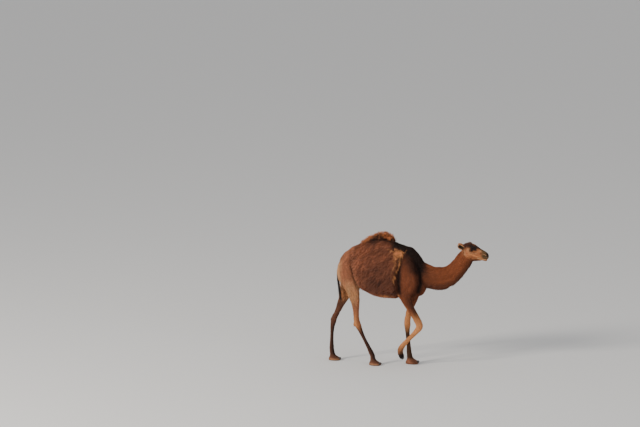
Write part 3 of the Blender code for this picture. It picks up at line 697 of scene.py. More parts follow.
class Anatomy:
    """Which part of the body a point lies on, and where on that part."""

    def __init__(self) -> None:
        """Builds the middle lines of all the parts."""
        turned = [(*from_head(np.array([s[:3]], float))[0], *s[3:]) for s in HEAD]
        tables = {"trunk": TRUNK, "neck": NECK[1:], "head": turned}
        legs = (FORELEG_RIGHT, FORELEG_LEFT, HINDLEG_RIGHT, HINDLEG_LEFT)
        tables |= {name: leg[1:] + end for name, leg, end in zip(LEGS, legs, FOOT_ENDS)}
        tables["tail"] = TAIL
        self.names = list(tables)
        self.lines = [Line.of(table, 5) for table in tables.values()]
        # The hair lies along every part, but against the way the neck and head are told.
        self.signs = [-1 if name in ("neck", "head") else 1 for name in self.names]

    def near(self, places: "Places") -> dict[str, Array]:
        """The shares of the parts, by their names."""
        return dict(zip(self.names, places.near))

    def read(self, p: Array) -> "Places":
        """Where each point lies.

        For each part, the nearest place on its line gives the point's rise and side there, and
        their sum of squares over the half sizes there says how far out it lies: 1 on the skin.

        Args:
            p: points in body coordinates.

        Returns:
            Their places.
        """
        shares, local, lies = [], [], []
        for line, sign in zip(self.lines, self.signs):
            gaps = p[:, None, :].astype(np.float32) - line.centres.astype(np.float32)
            at = (gaps**2).sum(-1).argmin(1)
            off = p - line.centres[at]
            rise, run, side = dot(off, line.across[at]), dot(off, line.along[at]), off[:, 1]
            fore, aft, wide = line.sizes[at, :3].T
            depth = np.where(rise > 0, fore, aft)
            shares.append(np.sqrt((rise / depth) ** 2 + (side / wide) ** 2 + (run / wide) ** 2))
            step = np.linalg.norm(np.diff(line.centres, axis=0), axis=1)
            arc = np.concatenate([[0], np.cumsum(step)])
            angle = np.arctan2(side, rise)
            local.append(np.stack([arc[at] + run, rise, side, angle, arc[at] / arc[-1]], axis=1))
            lies.append(sign * line.along[at])
        out = np.array(shares)
        part = out.argmin(0)
        near = bell(np.maximum(out, 0.6) / 0.35)
        near /= near.sum(0)
        rows = np.arange(len(p))
        lie = np.einsum("kn,knj->nj", near, np.array(lies))
        return Places(part, np.array(local)[part, rows], unit(lie), near)


@dataclass
class Places:
    """Where points lie: the part's number, its own coordinates, the lie of its hair and shares.

    The part's own coordinates are: length along it, rise, side, angle round it, share of its length.
    """

    part: Array
    local: Array
    lie: Array
    near: Array


# ---- the skin

NECK_CUT = (Vector((1.318, 0.034, 1.6)), Vector((0.58, 0.06, 0.81)).normalized())
LEG_CUT = (Vector((0, 0, 0.735)), Vector((0, 0, -1)))
CUT_GAP = 0.007  # half the band that joins a coarse skin to a fine one
FLOOR_GAP = 0.0008  # how far the soles stand off the floor


def relaxed(surface: Surface, share: Array, rounds: int) -> Surface:
    """The surface with each point moved to its neighbours' middle, over and over.

    Args:
        surface: the surface.
        share: how much of half the way each point goes, from 0 to 1.
        rounds: how often.

    Returns:
        A surface of the same faces.
    """
    q, t = surface.quads, surface.tris
    sides = [q[:, [k, (k + 1) % 4]] for k in range(4)] + [t[:, [k, (k + 1) % 3]] for k in range(3)]
    ends = np.concatenate(sides)
    one, other = np.concatenate([ends, ends[:, ::-1]]).T
    count = np.maximum(np.bincount(one, minlength=len(surface.points)), 1)[:, None]
    p = surface.points.copy()
    for _ in range(rounds):
        total = np.stack([np.bincount(one, p[other, k], len(p)) for k in range(3)], axis=1)
        p += 0.5 * share[:, None] * (total / count - p)
    return Surface(p, q, t)


@dataclass
class Skin:
    """The camel's one skin: fused forms, parted by grain, joined again and worked over."""

    coarse: float = 0.0142
    fine_head: float = 0.0038
    fine_legs: float = 0.0074
    anatomy: Anatomy = field(default_factory=Anatomy)

    def forms(self) -> tuple[list[Surface], list[Surface], list[Surface]]:
        """The closed forms of the trunk, of the head with its neck, and of the legs.

        Returns:
            Three lists of surfaces, each list fused by itself.
        """
        neck = tube(NECK)
        skull = [tube(HEAD, 64, 8)]
        pairs = [*HEAD_PAIRS, *((m[0], -m[1], *m[2:]) for m in HEAD_PAIRS), *CHIN]
        skull += [ellipsoid(mass) for mass in pairs]
        head = [neck, *(form.moved(head_matrix()) for form in skull)]
        tubes = (FORELEG_RIGHT, FORELEG_LEFT, HINDLEG_RIGHT, HINDLEG_LEFT)
        legs = [tube(leg) for leg in tubes]
        legs += [foot_surface().moved(foot_matrix(pose)) for pose in FEET]
        legs += [ellipsoid(mass) for mass in BODY_MASSES if mass[2] < 0.9]
        trunk = [tube(t, 60) for t in (TRUNK, HUMP)]
        trunk += [wool_surface()]
        trunk += [ellipsoid(mass) for mass in BODY_MASSES if mass[2] > 0.9]
        return trunk, head, legs

    def fused(self) -> Surface:
        """The whole skin, fine on the head and lower legs and coarser elsewhere.

        Each remesh is trimmed at the cuts in the neck and legs, and the rims are bridged.

        Returns:
            The skin before it is worked over.
        """
        trunk, head, legs = self.forms()
        whole = remeshed(joined([*trunk, *head, *legs]), self.coarse, 4)
        fine = remeshed(joined(head), self.fine_head, 18)
        lower = remeshed(joined(legs), self.fine_legs, 6)
        mesh = bmesh.new()
        for surface, cuts in (
            (whole, ((NECK_CUT, 1), (LEG_CUT, 1))),
            (fine, ((NECK_CUT, -1),)),
            (lower, ((LEG_CUT, -1),)),
        ):
            piece = bmesh.new()
            data = new_mesh("piece", surface)
            piece.from_mesh(data)
            for (place, way), sign in cuts:
                bmesh.ops.bisect_plane(
                    piece,
                    geom=[*piece.verts, *piece.edges, *piece.faces],
                    plane_co=place + Vector(ROW_SHIFT) - way * sign * CUT_GAP,
                    plane_no=way * sign,
                    clear_outer=True,
                )
            piece.to_mesh(data)
            piece.free()
            mesh.from_mesh(data)
            bpy.data.meshes.remove(data)
        self.bridge(mesh)
        bmesh.ops.recalc_face_normals(mesh, faces=mesh.faces)
        places = np.array([v.co for v in mesh.verts]) - ROW_SHIFT
        close = HeadDetail().close_up(places)
        edges = [e for e in mesh.edges if close[e.verts[0].index] and close[e.verts[1].index]]
        bmesh.ops.subdivide_edges(mesh, edges=edges, cuts=1, use_grid_fill=True)
        bmesh.ops.triangulate(mesh, faces=[f for f in mesh.faces if len(f.verts) > 4])
        data = bpy.data.meshes.new("skin")
        mesh.to_mesh(data)
        mesh.free()
        found = surface_of(data)
        bpy.data.meshes.remove(data)
        return found

    def bridge(self, mesh: bmesh.types.BMesh) -> None:
        """Joins the rims on the two sides of each cut: one in the neck and one in each leg.

        Args:
            mesh: the one whose rims are joined.
        """
        ends = [vert for vert in mesh.verts if vert.is_boundary]
        bmesh.ops.remove_doubles(mesh, verts=ends, dist=0.002)
        rims = [edge for edge in mesh.edges if edge.is_boundary]
        groups: dict[tuple, list] = {}
        for edge in rims:
            middle = (edge.verts[0].co + edge.verts[1].co) / 2
            x = middle.x - ROW_SHIFT[0]
            key = ("neck",) if x > 1 else (x > 0.1, middle.y > 0)
            groups.setdefault(key, []).append(edge)
        for edges in groups.values():
            bmesh.ops.bridge_loops(mesh, edges=edges)
        mesh.verts.index_update()

    def depth(self, p: Array, places: Places) -> Array:
        """The coat's depth: 3 mm on the face and feet, 6 mm on most of the body, 17 mm on the wool.

        Args:
            p: points in body coordinates.
            places: where the points lie on the parts.

        Returns:
            A depth for each point.
        """
        x, z = p[:, 0], p[:, 2]
        deep = np.full(len(p), 0.006)
        wool = ramp(x, -0.4, -0.25) * ramp(x, 0.47, 0.4) * ramp(z, 1.0, 1.06)
        deep += 0.011 * wool * ramp(np.abs(p[:, 1]), 0.1, 0.16)
        deep += 0.01 * ramp(z, 1.7, 1.8) * ramp(x, -0.4, -0.2) * ramp(x, 0.6, 0.4)
        legs = ramp(z, 0.95, 0.6)
        deep = deep * (1 - legs) + 0.0035 * legs
        deep = deep * ramp(z, 0.02, 0.1) + 0.001 * ramp(z, 0.1, 0.02)
        head = places.near[self.anatomy.names.index("head")]
        ahead = ramp(to_head(p)[:, 0], 1.4, 1.52)
        return deep * (1 - head * ahead) + 0.0022 * head * ahead

    def built(self) -> Surface:
        """The finished skin without its ears and lids: fused, sunk by the coat's depth and sculpted.

        Returns:
            The skin.
        """
        skin = self.fused()
        x, z = skin.points[:, 0], skin.points[:, 2]
        broad = ramp(x, -0.55, -0.45) * ramp(x, 0.75, 0.62) * ramp(z, 1.15, 1.28)
        neck_gap = (skin.points - NECK_CUT[0]) @ np.array(NECK_CUT[1])
        seam = (np.abs(neck_gap) < 0.03) * (x > 1.2) + (np.abs(z - LEG_CUT[0].z) < 0.02)
        skin = relaxed(skin, broad * (np.abs(skin.points[:, 1]) < 0.4), 16)
        skin = relaxed(skin, np.clip(seam, 0, 1) * 0.9, 14)
        places = self.anatomy.read(skin.points)
        p, n = skin.points, skin.normals()
        lift = -self.depth(p, places)
        for stroke in STROKES:
            lift = lift + stroke.lift(p)
        lift = lift + self.sinews(p, places)
        skin = Surface(p + n * lift[:, None], skin.quads, skin.tris)
        skin = HeadDetail().worked(skin)
        skin.points[:, 2] = np.maximum(skin.points[:, 2], FLOOR_GAP)
        return skin

    def sinews(self, p: Array, places: Places) -> Array:
        """Grooves between bone and tendon along the cannons, as Gaussians of rise over half size.

        Args:
            p: points in body coordinates.
            places: where the points lie on the parts.

        Returns:
            A rise for each point.
        """
        total = np.zeros(len(p))
        _, rise, side, _, share = places.local.T
        for name in LEGS:
            k = self.anatomy.names.index(name)
            line, mine = self.anatomy.lines[k], places.part == k
            steps = np.linspace(0, 1, len(line.centres))
            low = np.interp(share, steps, line.centres[:, 2])
            size = np.interp(share, steps, line.sizes[:, 0])
            band = ramp(low, 0.2, 0.26) * ramp(low, 0.58, 0.5)
            groove = bell((rise / size + 0.3) / 0.22) * (np.abs(side) > 0.3 * size)
            total -= mine * band * groove * 0.0035
        return total


# ---- the head

MOUTH = ((1.728, 1.664), (1.7, 1.67), (1.66, 1.673), (1.62, 1.676), (1.585, 1.684), (1.568, 1.692))
NOSTRIL = ((1.69, 1.731), (1.678, 1.744), (1.662, 1.753), (1.646, 1.755))
# Folds and swells of the cheek, jaw and nose: height, width, and a path or a place in the side view.
FACE_LINES = (
    (-0.003, 0.01, (1.655, 1.775), (1.625, 1.76), (1.612, 1.735)),
    (0.0045, 0.011, (1.43, 1.785), (1.49, 1.768), (1.545, 1.752)),
    (0.0055, 0.04, (1.425, 1.722)),
    (-0.005, 0.012, (1.5, 1.745), (1.492, 1.7), (1.47, 1.668)),
    (0.0035, 0.012, (1.52, 1.66), (1.45, 1.65), (1.395, 1.672)),
    (-0.005, 0.014, (1.52, 1.8), (1.545, 1.785), (1.575, 1.772)),
    (-0.004, 0.022, (1.405, 1.835)),
    (0.003, 0.009, (1.56, 1.812), (1.62, 1.788), (1.66, 1.772)),
)
JAW_FOLDS = (
    ((1.392, 1.736), (1.377, 1.706), (1.381, 1.668), (1.398, 1.64)),
    ((1.372, 1.722), (1.356, 1.688), (1.362, 1.652)),
    ((1.35, 1.7), (1.338, 1.668), (1.345, 1.64)),
)
EYE_OUT = np.array((0.3, 1.0, 0.14)) / np.linalg.norm((0.3, 1.0, 0.14))


def eye_frame(side: int) -> tuple[Array, Array]:
    """An eye's centre, and its ahead, up and out directions as rows, in the straight head.

    Args:
        side: 1 on the left, -1 on the right.

    Returns:
        The centre and the three rows.
    """
    out = EYE_OUT * (1, side, 1)
    ahead = unit(np.cross(np.cross(out, (1, 0, -0.1)), out))
    up = np.cross(ahead, out) * side
    up = up if up[2] > 0 else -up
    return np.array((EYE[0], side * EYE[1], EYE[2])), np.stack([ahead, up, out])


def rays(axes: Array, ahead: Array, up: Array, out: Array) -> Array:
    """Directions from an eye's centre, by their shares of its three axes."""
    return axes[0] * ahead[..., None] + axes[1] * up[..., None] + axes[2] * out[..., None]


@dataclass
class HeadDetail:
    """Nostrils, mouth, cheeks, brows and eye sockets, as moves of the skin along its normals."""

    nostril_depth: float = 0.0085
    mouth_depth: float = 0.0055

    def worked(self, skin: Surface) -> Surface:
        """The whole skin with the face's forms.

        Args:
            skin: the smooth skin.

        Returns:
            The skin, finer and sculpted at the face.
        """
        near = skin.points[:, 0] > 1.3
        p = to_head(skin.points[near])
        m = np.array(head_matrix().inverted())[:3, :3]
        n = skin.normals()[near] @ m.T
        p = p + n * self.lift(p)[:, None]
        for side, _ in SIDES:
            p = self.socket(p, side)
        points = skin.points.copy()
        points[near] = from_head(p)
        return Surface(points, skin.quads, skin.tris)

    def close_up(self, points: Array) -> Array:
        """Whether each point is near an eye, a nostril or the mouth, where the skin is finest.

        Args:
            points: in body coordinates.

        Returns:
            A truth for each point.
        """
        p = to_head(points)
        flat = p[:, [0, 2]]
        eye = (np.hypot(p[:, 0] - EYE[0], p[:, 2] - EYE[2]) < 0.034) & (np.abs(p[:, 1]) > 0.04)
        lips = (gap_to(flat, NOSTRIL) < 0.013) | (gap_to(flat, MOUTH) < 0.011)
        return (points[:, 0] > 1.35) & (eye | lips)

    def lift(self, p: Array) -> Array:
        """How far each point of the head rises, as a sum of Gaussian ridges, grooves and swells.

        Args:
            p: points of the straight head.

        Returns:
            A rise for each point.
        """
        flat = p[:, [0, 2]]
        away = np.abs(p[:, 1])
        x, z = p[:, 0], p[:, 2]

        def line(path: tuple, width: float) -> Array:
            """A Gaussian of the distance from a path."""
            return bell(gap_to(flat, path) / width)

        def spot(at: tuple, size: float) -> Array:
            """A round Gaussian about a place."""
            return np.exp(-(((x - at[0]) ** 2 + (z - at[1]) ** 2) / size**2))

        sides = ramp(away, 0.006, 0.018)
        mouth_z = np.interp(x, *zip(*MOUTH[::-1]))
        below = z - mouth_z
        at_mouth = ramp(x, 1.562, 1.59)
        total = -self.mouth_depth * bell(below / 0.0032) * at_mouth
        total += 0.0036 * bell((below - 0.011) / 0.008) * at_mouth
        total += 0.0026 * bell((below + 0.01) / 0.006) * at_mouth
        total += 0.004 * spot((1.69, 1.64), 0.016)
        total += 0.003 * spot((1.572, 1.69), 0.012) * sides
        # The cleft of the upper lip, and the groove from it to the nose.
        cleft = bell(away / 0.0032) * ramp(x, 1.69, 1.706) * (z > mouth_z)
        total -= 0.0045 * cleft * ramp(z, 1.745, 1.72)
        # The nostril: a slit with a raised wing above and a pale rim below.
        total -= self.nostril_depth * line(NOSTRIL, 0.0048) * ramp(away, 0.01, 0.018)
        wing = tuple((a - 0.001, b + 0.009) for a, b in NOSTRIL)
        rim = tuple((a + 0.001, b - 0.009) for a, b in NOSTRIL)
        total += 0.0042 * line(wing, 0.006) * sides + 0.003 * line(rim, 0.0055) * sides
        for height, width, *path in FACE_LINES:
            form = line(path, width) if len(path) > 1 else spot(path[0], width)
            total += height * form * sides
        bridge = ramp(x, 1.47, 1.52) * ramp(x, 1.66, 1.62) * (z > 1.78)
        total -= 0.004 * bell(away / 0.01) * bridge
        # Fine folds round the mouth's corner, under the eye and behind the jaw.
        for k in range(3):
            corner = ((1.566 - 0.008 * k, 1.708 + 0.004 * k), (1.556 - 0.007 * k, 1.694))
            corner += ((1.56 - 0.01 * k, 1.678 - 0.003 * k),)
            total -= 0.0011 * line(corner, 0.0036) * sides
            under = ((1.436 - k * 0.005, 1.774 - 0.006 * k), (1.464, 1.763 - 0.008 * k))
            under += ((1.492 + 0.004 * k, 1.772 - 0.009 * k),)
            total -= 0.0009 * line(under, 0.0032) * sides
        for k, path in enumerate(JAW_FOLDS):
            total -= 0.0036 * 0.75**k * line(path, 0.0075) * sides
        # The brow's ridge and the rim of bone round the eye.
        eye_gap = np.hypot(x - EYE[0], (z - EYE[2]) * 1.15)
        total += 0.005 * bell((eye_gap - 0.034) / 0.011) * sides
        total += 0.005 * line(((1.435, 1.836), (1.468, 1.842), (1.5, 1.832)), 0.01) * sides
        return total

    def socket(self, p: Array, side: int) -> Array:
        """Sinks the skin under the eyeball: nothing near the eye's axis stands outside its ball.

        Args:
            p: points of the straight head.
            side: 1 on the left, -1 on the right.

        Returns:
            The points, moved.
        """
        centre, axes = eye_frame(side)
        off = p - centre
        far = np.linalg.norm(off, axis=1)
        turn = np.arccos(np.clip(off @ axes[2] / np.maximum(far, 1e-9), -1, 1))
        floor = EYE_RADIUS - 0.003 * ramp(turn, 1.05, 0.8) + 0.0022 * ramp(turn, 0.95, 1.25)
        inside = (turn < 1.36) & (far < 0.06)
        scale = np.where(inside & (far > floor), floor / far, 1)
        blend = ramp(turn, 1.34, 0.98)
        scale = scale * blend + (1 - blend)
        return centre + off * scale[:, None]


# A lid's section: share of the way from the opening to the far edge, and height over the eyeball.
LID_SECTION = (
    (0.0, -0.0015), (0.0, 0.0003), (0.03, 0.0019), (0.09, 0.0025), (0.17, 0.0023), (0.27, 0.0027),
    (0.38, 0.0034), (0.52, 0.0036), (0.68, 0.0033), (0.85, 0.002), (1.0, -0.002),
)  # fmt: skip


@dataclass
class Lids:
    """One eye's lids: a ring from an almond opening on the eyeball out over the socket's rim."""

    side: int
    reach: tuple = (0.98, 0.66)  # half angles of the opening, along and up

    def surface(self, around: int = 96) -> Surface:
        """The ring: spokes leave the opening's edge, swell to the lid's roll and sink under the skin.

        The edge is an ellipse of angles narrowed at both corners by |sin|^1.35, and the front
        corner runs down to the tear duct.

        Args:
            around: how many spokes.

        Returns:
            The closed-edged ring, in body coordinates.
        """
        centre, axes = eye_frame(self.side)
        phi = turned_round(around)
        c, s = np.cos(phi), np.sin(phi)
        high = self.reach[1] * np.where(s > 0, 1.0, 0.8)
        a = self.reach[0] * np.sign(c) * np.abs(c) ** 0.92
        b = high * np.sign(s) * np.abs(s) ** 1.35
        b = b - 0.16 * bell(phi / 0.35) - 0.16 * bell((phi - TAU) / 0.35)
        away, rise = np.array(LID_SECTION).T[:, :, None]
        upper = ramp(s, -0.2, 0.6)
        rise = rise + upper * 0.0022 * bell((away - 0.4) / 0.16)
        rise = rise - 0.0016 * bell((away - 0.24) / 0.05)
        turn = np.hypot(a, b)
        far = turn + (1.62 - turn) * away
        drop = np.sin(far)
        ray = rays(axes, a / turn * drop, b / turn * drop, np.cos(far))
        rings = centre + ray * (EYE_RADIUS + rise)[..., None]
        made = lofted(rings, capped=False)
        t = made.points[made.triangles()]
        if dot(np.cross(t[:, 1] - t[:, 0], t[:, 2] - t[:, 0]), t[:, 0] - centre).sum() < 0:
            made = Surface(made.points, made.quads[:, ::-1])
        return made.moved(head_matrix())


@dataclass
class Ear:
    """A leaf-shaped ear, hollowed on the face that looks out."""

    side: int
    length: float = 0.12
    width: float = 0.073
    wall: float = 0.0065
    root: tuple = (1.347, 0.057, 1.824)

    def local(self, p: Array, n: Array) -> tuple[Array, Array]:
        """Points in the ear's own coordinates, and whether each faces its hollow."""
        m = np.array(self.matrix())
        return (p - m[:3, 3]) @ m[:3, :3], (n @ m[:3, 0] > 0.15) * 1.0

    def matrix(self) -> Matrix:
        """The ear's place: turned out, leaned back, leaned to its side and turned with the head.

        Returns:
            The matrix that takes the upright ear to its place.
        """
        turn = Matrix.Rotation(self.side * math.radians(72), 4, "Z")
        back = Matrix.Rotation(-math.radians(55), 4, "Y")
        lean = Matrix.Rotation(-self.side * math.radians(24), 4, "X")
        place = Matrix.Translation((self.root[0], self.side * self.root[1], self.root[2]))
        return head_matrix() @ place @ lean @ back @ turn

    def surface(self, count: int = 34, around: int = 44) -> Surface:
        """Rings up the ear: the outer wall is round, and the inner one follows it at the wall's width.

        Half width = width / 2 * sin(pi (0.17 + 0.79 s^1.2))^0.62, and the cup's depth falls off
        to the rim as the square of the way across.

        Args:
            count: rings from root to tip.
            around: points round each ring.

        Returns:
            The closed ear in body coordinates.
        """
        s = np.linspace(0, 1, count)[:, None] ** 0.9
        half = 0.5 * self.width * np.sin(math.pi * (0.17 + 0.79 * s**1.2)) ** 0.62
        angle = turned_round(around)
        y = half * np.cos(angle)
        across = np.clip(np.abs(y) / np.maximum(half, 1e-6), 0, 1)
        cup = 0.62 * half * (1 - across**2) * np.sin(math.pi * np.clip(s * 0.93 + 0.1, 0, 1)) ** 0.8
        wall = self.wall * (1 - 0.45 * s)
        skinny = np.sin(angle)
        x = np.where(skinny > 0, wall * skinny * 0.5 - cup, wall * skinny - cup)
        fold = 0.0022 * np.sin(angle) * np.sin(across * 9) * (skinny > 0) * (1 - s)
        x = x + fold + 0.01 * s**2
        z = np.broadcast_to(self.length * (s - 0.16), x.shape) * (1 - 0.05 * across**2)
        return outward(lofted(np.stack([x, y, z], axis=-1))).moved(self.matrix())


# ---- markings, with painted shade and painted highlights


def srgb(red: int, green: int, blue: int) -> Array:
    """A colour of 0 to 255 a channel in linear light: ((c + 0.055) / 1.055)^2.4."""
    c = np.array((red, green, blue)) / 255
    return np.where(c < 0.04045, c / 12.92, ((c + 0.055) / 1.055) ** 2.4)


def tint(*rgb: int) -> Array:
    """A colour as a field of a palette."""
    return field(default_factory=lambda: srgb(*rgb))


@dataclass(frozen=True)
class Palette:
    """The coat's colours, in linear light."""

    barrel: Array = tint(140, 82, 56)
    dark_wool: Array = tint(76, 42, 30)
    black: Array = tint(30, 17, 13)
    shoulder: Array = tint(124, 68, 43)
    neck: Array = tint(134, 73, 43)
    throat: Array = tint(80, 44, 29)
    rump: Array = tint(160, 100, 71)
    pale: Array = tint(216, 162, 116)
    gold: Array = tint(208, 140, 88)
    cannon: Array = tint(74, 45, 33)
    foot: Array = tint(140, 90, 66)
    crown: Array = tint(80, 45, 34)
    cheek: Array = tint(190, 120, 76)
    muzzle: Array = tint(120, 92, 62)
    nose: Array = tint(44, 33, 28)
    olive: Array = tint(78, 60, 40)
    fringe: Array = tint(206, 136, 84)
    crest: Array = tint(190, 114, 68)


def noise(q: Array, seed: int) -> Array:
    """Smooth chance from -1 to 1: hashed values at whole numbers, blended by 3f^2 - 2f^3.

    Args:
        q: points, scaled so that a blotch is about 1 across.
        seed: which noise.

    Returns:
        One value for each point.
    """
    base = np.floor(q).astype(np.int64)
    f = q - base
    f = f * f * (3 - 2 * f)
    total = np.zeros(len(q))
    primes = np.array((73856093, 19349663, 83492791))
    for corner in range(8):
        step = np.array([(corner >> k) & 1 for k in range(3)])
        h = ((base + step) * primes + seed * 7919).astype(np.uint32)
        h = h[:, 0] ^ h[:, 1] ^ h[:, 2]
        h = (h ^ (h >> np.uint32(15))) * np.uint32(2246822519)
        h = (h ^ (h >> np.uint32(13))) * np.uint32(3266489917)
        value = (h >> np.uint32(8)) / float(1 << 23) - 1
        total += value * np.prod(np.where(step, f, 1 - f), axis=1)
    return total


# Lines of the coat in the side view: x and z.
FRINGE_LINE = (
    (0.477, 1.79), (0.435, 1.67), (0.398, 1.54), (0.345, 1.444),
    (0.338, 1.31), (0.35, 1.2), (0.375, 1.09),
)  # fmt: skip
WITHERS = ((0.36, 1.86), (0.45, 1.82), (0.55, 1.77), (0.64, 1.7), (0.7, 1.6), (0.715, 1.52))
ARM_GAP = ((0.425, 1.66), (0.41, 1.5), (0.402, 1.3), (0.42, 1.12))
SHOULDER_EDGE = ((0.69, 1.6), (0.718, 1.5), (0.725, 1.4), (0.72, 1.27), (0.685, 1.15))
CREST_FOOT = (
    (-0.3, 1.815), (-0.2, 1.862), (-0.093, 1.885), (0.0, 1.912),
    (0.045, 1.932), (0.14, 1.926), (0.285, 1.898), (0.36, 1.866),
)  # fmt: skip


# Height and place ahead along the wool's front and rear edges.
WOOL_FRONT = (
    (1.09, 0.375), (1.2, 0.35), (1.31, 0.335), (1.44, 0.337),
    (1.54, 0.398), (1.67, 0.435), (1.79, 0.477),
)  # fmt: skip
WOOL_REAR = ((1.1, -0.2), (1.4, -0.3), (1.62, -0.37), (1.8, -0.37))


def above_crest_foot(p: Array) -> Array:
    """How far each point lies over the lower edge of the crest's curls."""
    return p[:, 2] - np.interp(p[:, 0], *zip(*CREST_FOOT)) - 0.016


def in_wool(p: Array) -> Array:
    """Behind the wool's front edge and ahead of the thigh.

    Args:
        p: points in body coordinates.

    Returns:
        1 in the wool and 0 elsewhere, for each point.
    """
    edge = np.interp(p[:, 2], *zip(*WOOL_FRONT))
    rear = np.interp(p[:, 2], *zip(*WOOL_REAR))
    return (p[:, 0] < edge) & (p[:, 0] > rear) & (p[:, 2] > 1.0)


class Paint:
    """Colours mixed one over another at points that are also read in the side view."""

    def __init__(self, base: Array, p: Array) -> None:
        """Starts every point at the base colour."""
        self.flat = p[:, [0, 2]]
        self.tone = np.tile(base, (len(p), 1))

    def mix(self, colour: Array, mask: Array) -> None:
        """Takes each point's colour to this one by its mask: tone + (colour - tone) * mask."""
        self.tone = self.tone + (colour - self.tone) * np.clip(mask, 0, 1)[:, None]

    def band(self, path: tuple, width: float) -> Array:
        """A Gaussian of the distance from a path."""
        return bell(gap_to(self.flat, path) / width)

    def spot(self, at: tuple, size: tuple) -> Array:
        """A Gaussian about a place."""
        return hill(*self.flat.T, at, size)


class MarkingsAndShade:
    """The coat's colour at any point of the body, mixed part by part from the palette: its markings,
    with painted shade and painted highlights laid in.
    """

    def __init__(self, anatomy: Anatomy) -> None:
        """Keeps the anatomy whose parts the colours follow."""
        self.anatomy = anatomy
        self.colours = Palette()

    def at(self, p: Array, places: Places) -> Array:
        """The colour at each point.

        Args:
            p: points in body coordinates.
            places: where they lie.

        Returns:
            Linear colours, one row for each point.
        """
        c = self.colours
        x, y, z = p.T
        near = self.anatomy.near(places)
        paint = Paint(c.barrel, p)
        mix, band, spot = paint.mix, paint.band, paint.spot
        wide = np.abs(y)
        fore = near["foreleg_right"] + near["foreleg_left"]
        hind = near["hindleg_right"] + near["hindleg_left"]
        blotch = noise(p * 7, 1)
        low = ramp(z, 1.74, 1.4) * ramp(x, -0.24, 0.02)
        mix(c.dark_wool, 0.16 + 0.56 * low + 0.2 * blotch)
        mix(c.rump, ramp(x, -0.18, -0.44) * 0.95)
        mix(c.rump, hind * ramp(z, 0.8, 0.95))
        # Pale rear edge of the rump: a painted highlight where the light falls from behind.
        rear = ramp(x, -0.45, -0.565) * ramp(z, 1.02, 1.25) * ramp(z, 1.7, 1.5)
        mix(c.pale, rear * (0.78 + 0.35 * blotch + 0.25 * noise(p * 22, 15)))
        mix(c.shoulder, fore * ramp(z, 0.85, 1.0) + ramp(x, 0.42, 0.5) * (1 - near["neck"]) * 0.8)
        mix(c.neck, near["neck"] * ramp(x, 0.62, 0.78))
        mix(c.cheek, near["head"] * 0.6 * ramp(x, 1.25, 1.38))
        # The neck's darker underside and the black line along its lowest part: partly darker hair,
        # partly painted shade.
        under = ramp(places.local[:, 1] / 0.15, -0.25, -0.85) * near["neck"]
        mix(c.throat, under * 0.75 * ramp(x, 0.6, 0.75))
        middle = np.interp(x, [0.9, 1.36], [0.002, 0.038])
        lowest = (near["neck"] > 0.5) * bell((y - middle) / 0.022)
        mix(c.black, lowest * (places.local[:, 1] < 0) * ramp(x, 0.8, 0.92) * 0.9)
        mix(c.throat, spot((0.84, 1.38), (0.15, 0.13)) * near["neck"] * 0.55)
        mix(c.black, spot((0.58, 1.62), (0.14, 0.13)) * (1 - near["neck"]) * 0.66)
        ragged = gap_to(paint.flat, WITHERS) + 0.03 * blotch + 0.022 * noise(p * 19, 16)
        mix(c.black, ramp(ragged, 0.16, 0.03) * 0.97)
        # Black band in the groove between wool and arm: partly dark hair, partly painted shade in the
        # groove.
        mix(c.black, band(ARM_GAP, 0.032) * ramp(wide, 0.08, 0.12) * 0.95)
        # Black band along the shoulder's edge towards the neck: partly dark hair, partly painted shade
        # between shoulder and neck.
        mix(c.black, band(SHOULDER_EDGE, 0.046) * ramp(wide, 0.05, 0.1) * 0.97)
        # Black band along the foot of the crest: partly dark hair, partly painted shadow under the
        # crest.
        fading = (0.5 + 0.5 * ramp(x, -0.16, 0.0)) * ramp(x, -0.34, -0.22)
        mix(c.black, band(CREST_FOOT, 0.038) * fading * 0.97)
        # Dark lines down the fold between flank and thigh: painted shade in the crease.
        mix(c.dark_wool, band(((-0.36, 1.72), (-0.335, 1.5)), 0.026) * 0.5)
        mix(c.black, band(((-0.335, 1.5), (-0.29, 1.34), (-0.235, 1.2), (-0.2, 1.12)), 0.018) * 0.85)
        mix(c.rump, band(((-0.3, 1.52), (-0.25, 1.34), (-0.19, 1.2)), 0.03) * 0.6)
        mix(c.neck, spot((0.05, 1.05), (0.3, 0.05)) * 0.8)
        mix(c.gold, spot((0.2, 1.07), (0.1, 0.025)) * 0.5)
        mix(c.black, spot((0.405, 1.75), (0.07, 0.08)) * ramp(wide, 0.08, 0.14) * 0.55)
        mix(c.gold, spot((-0.37, 1.08), (0.11, 0.13)) * hind * (0.95 + 0.6 * noise(p * 24, 4)))
        mix(c.pale, spot((-0.36, 1.09), (0.14, 0.16)) * hind * (0.9 + 0.6 * noise(p * 30, 14)))
        mix(c.gold, spot((-0.52, 1.03), (0.09, 0.1)) * near["hindleg_left"] * 0.6)
        self.legs(mix, p, near, places)
        # Black where the tail hangs free: partly dark hair, partly painted shade.
        mix(c.black, near["tail"] * ramp(z, 1.38, 1.31))
        head = ramp(near["head"], 0.35, 0.75)
        mix(self.face(to_head(p)), head * ramp(x, 1.3, 1.4))
        woolly = near["trunk"] * (0.6 + 0.4 * in_wool(p))
        amount = 0.16 + 0.26 * woolly - 0.09 * head
        return paint.tone * (1 + amount * self.grain(p, places, near["trunk"]))[:, None]

    def grain(self, p: Array, places: Places, trunk: Array) -> Array:
        """Streaks along the coat: noise drawn out back and down on the trunk, and along other parts.

        Args:
            p: points in body coordinates.
            places: where the points lie on the parts.
            trunk: the trunk's share at each point.

        Returns:
            A value about 0 for each point.
        """
        x, y, z = p.T
        slant = np.stack([(0.6 * x + 0.8 * z) * 8, (0.8 * x - 0.6 * z) * 38, y * 14], axis=1)
        arc, rise, side = places.local[:, :3].T
        run = np.stack([arc * 9, rise * 40, side * 40], axis=1)
        down, along = (noise(q, 11) + 0.6 * noise(q * 2.3, 12) for q in (slant, run))
        return down * trunk + along * (1 - trunk)

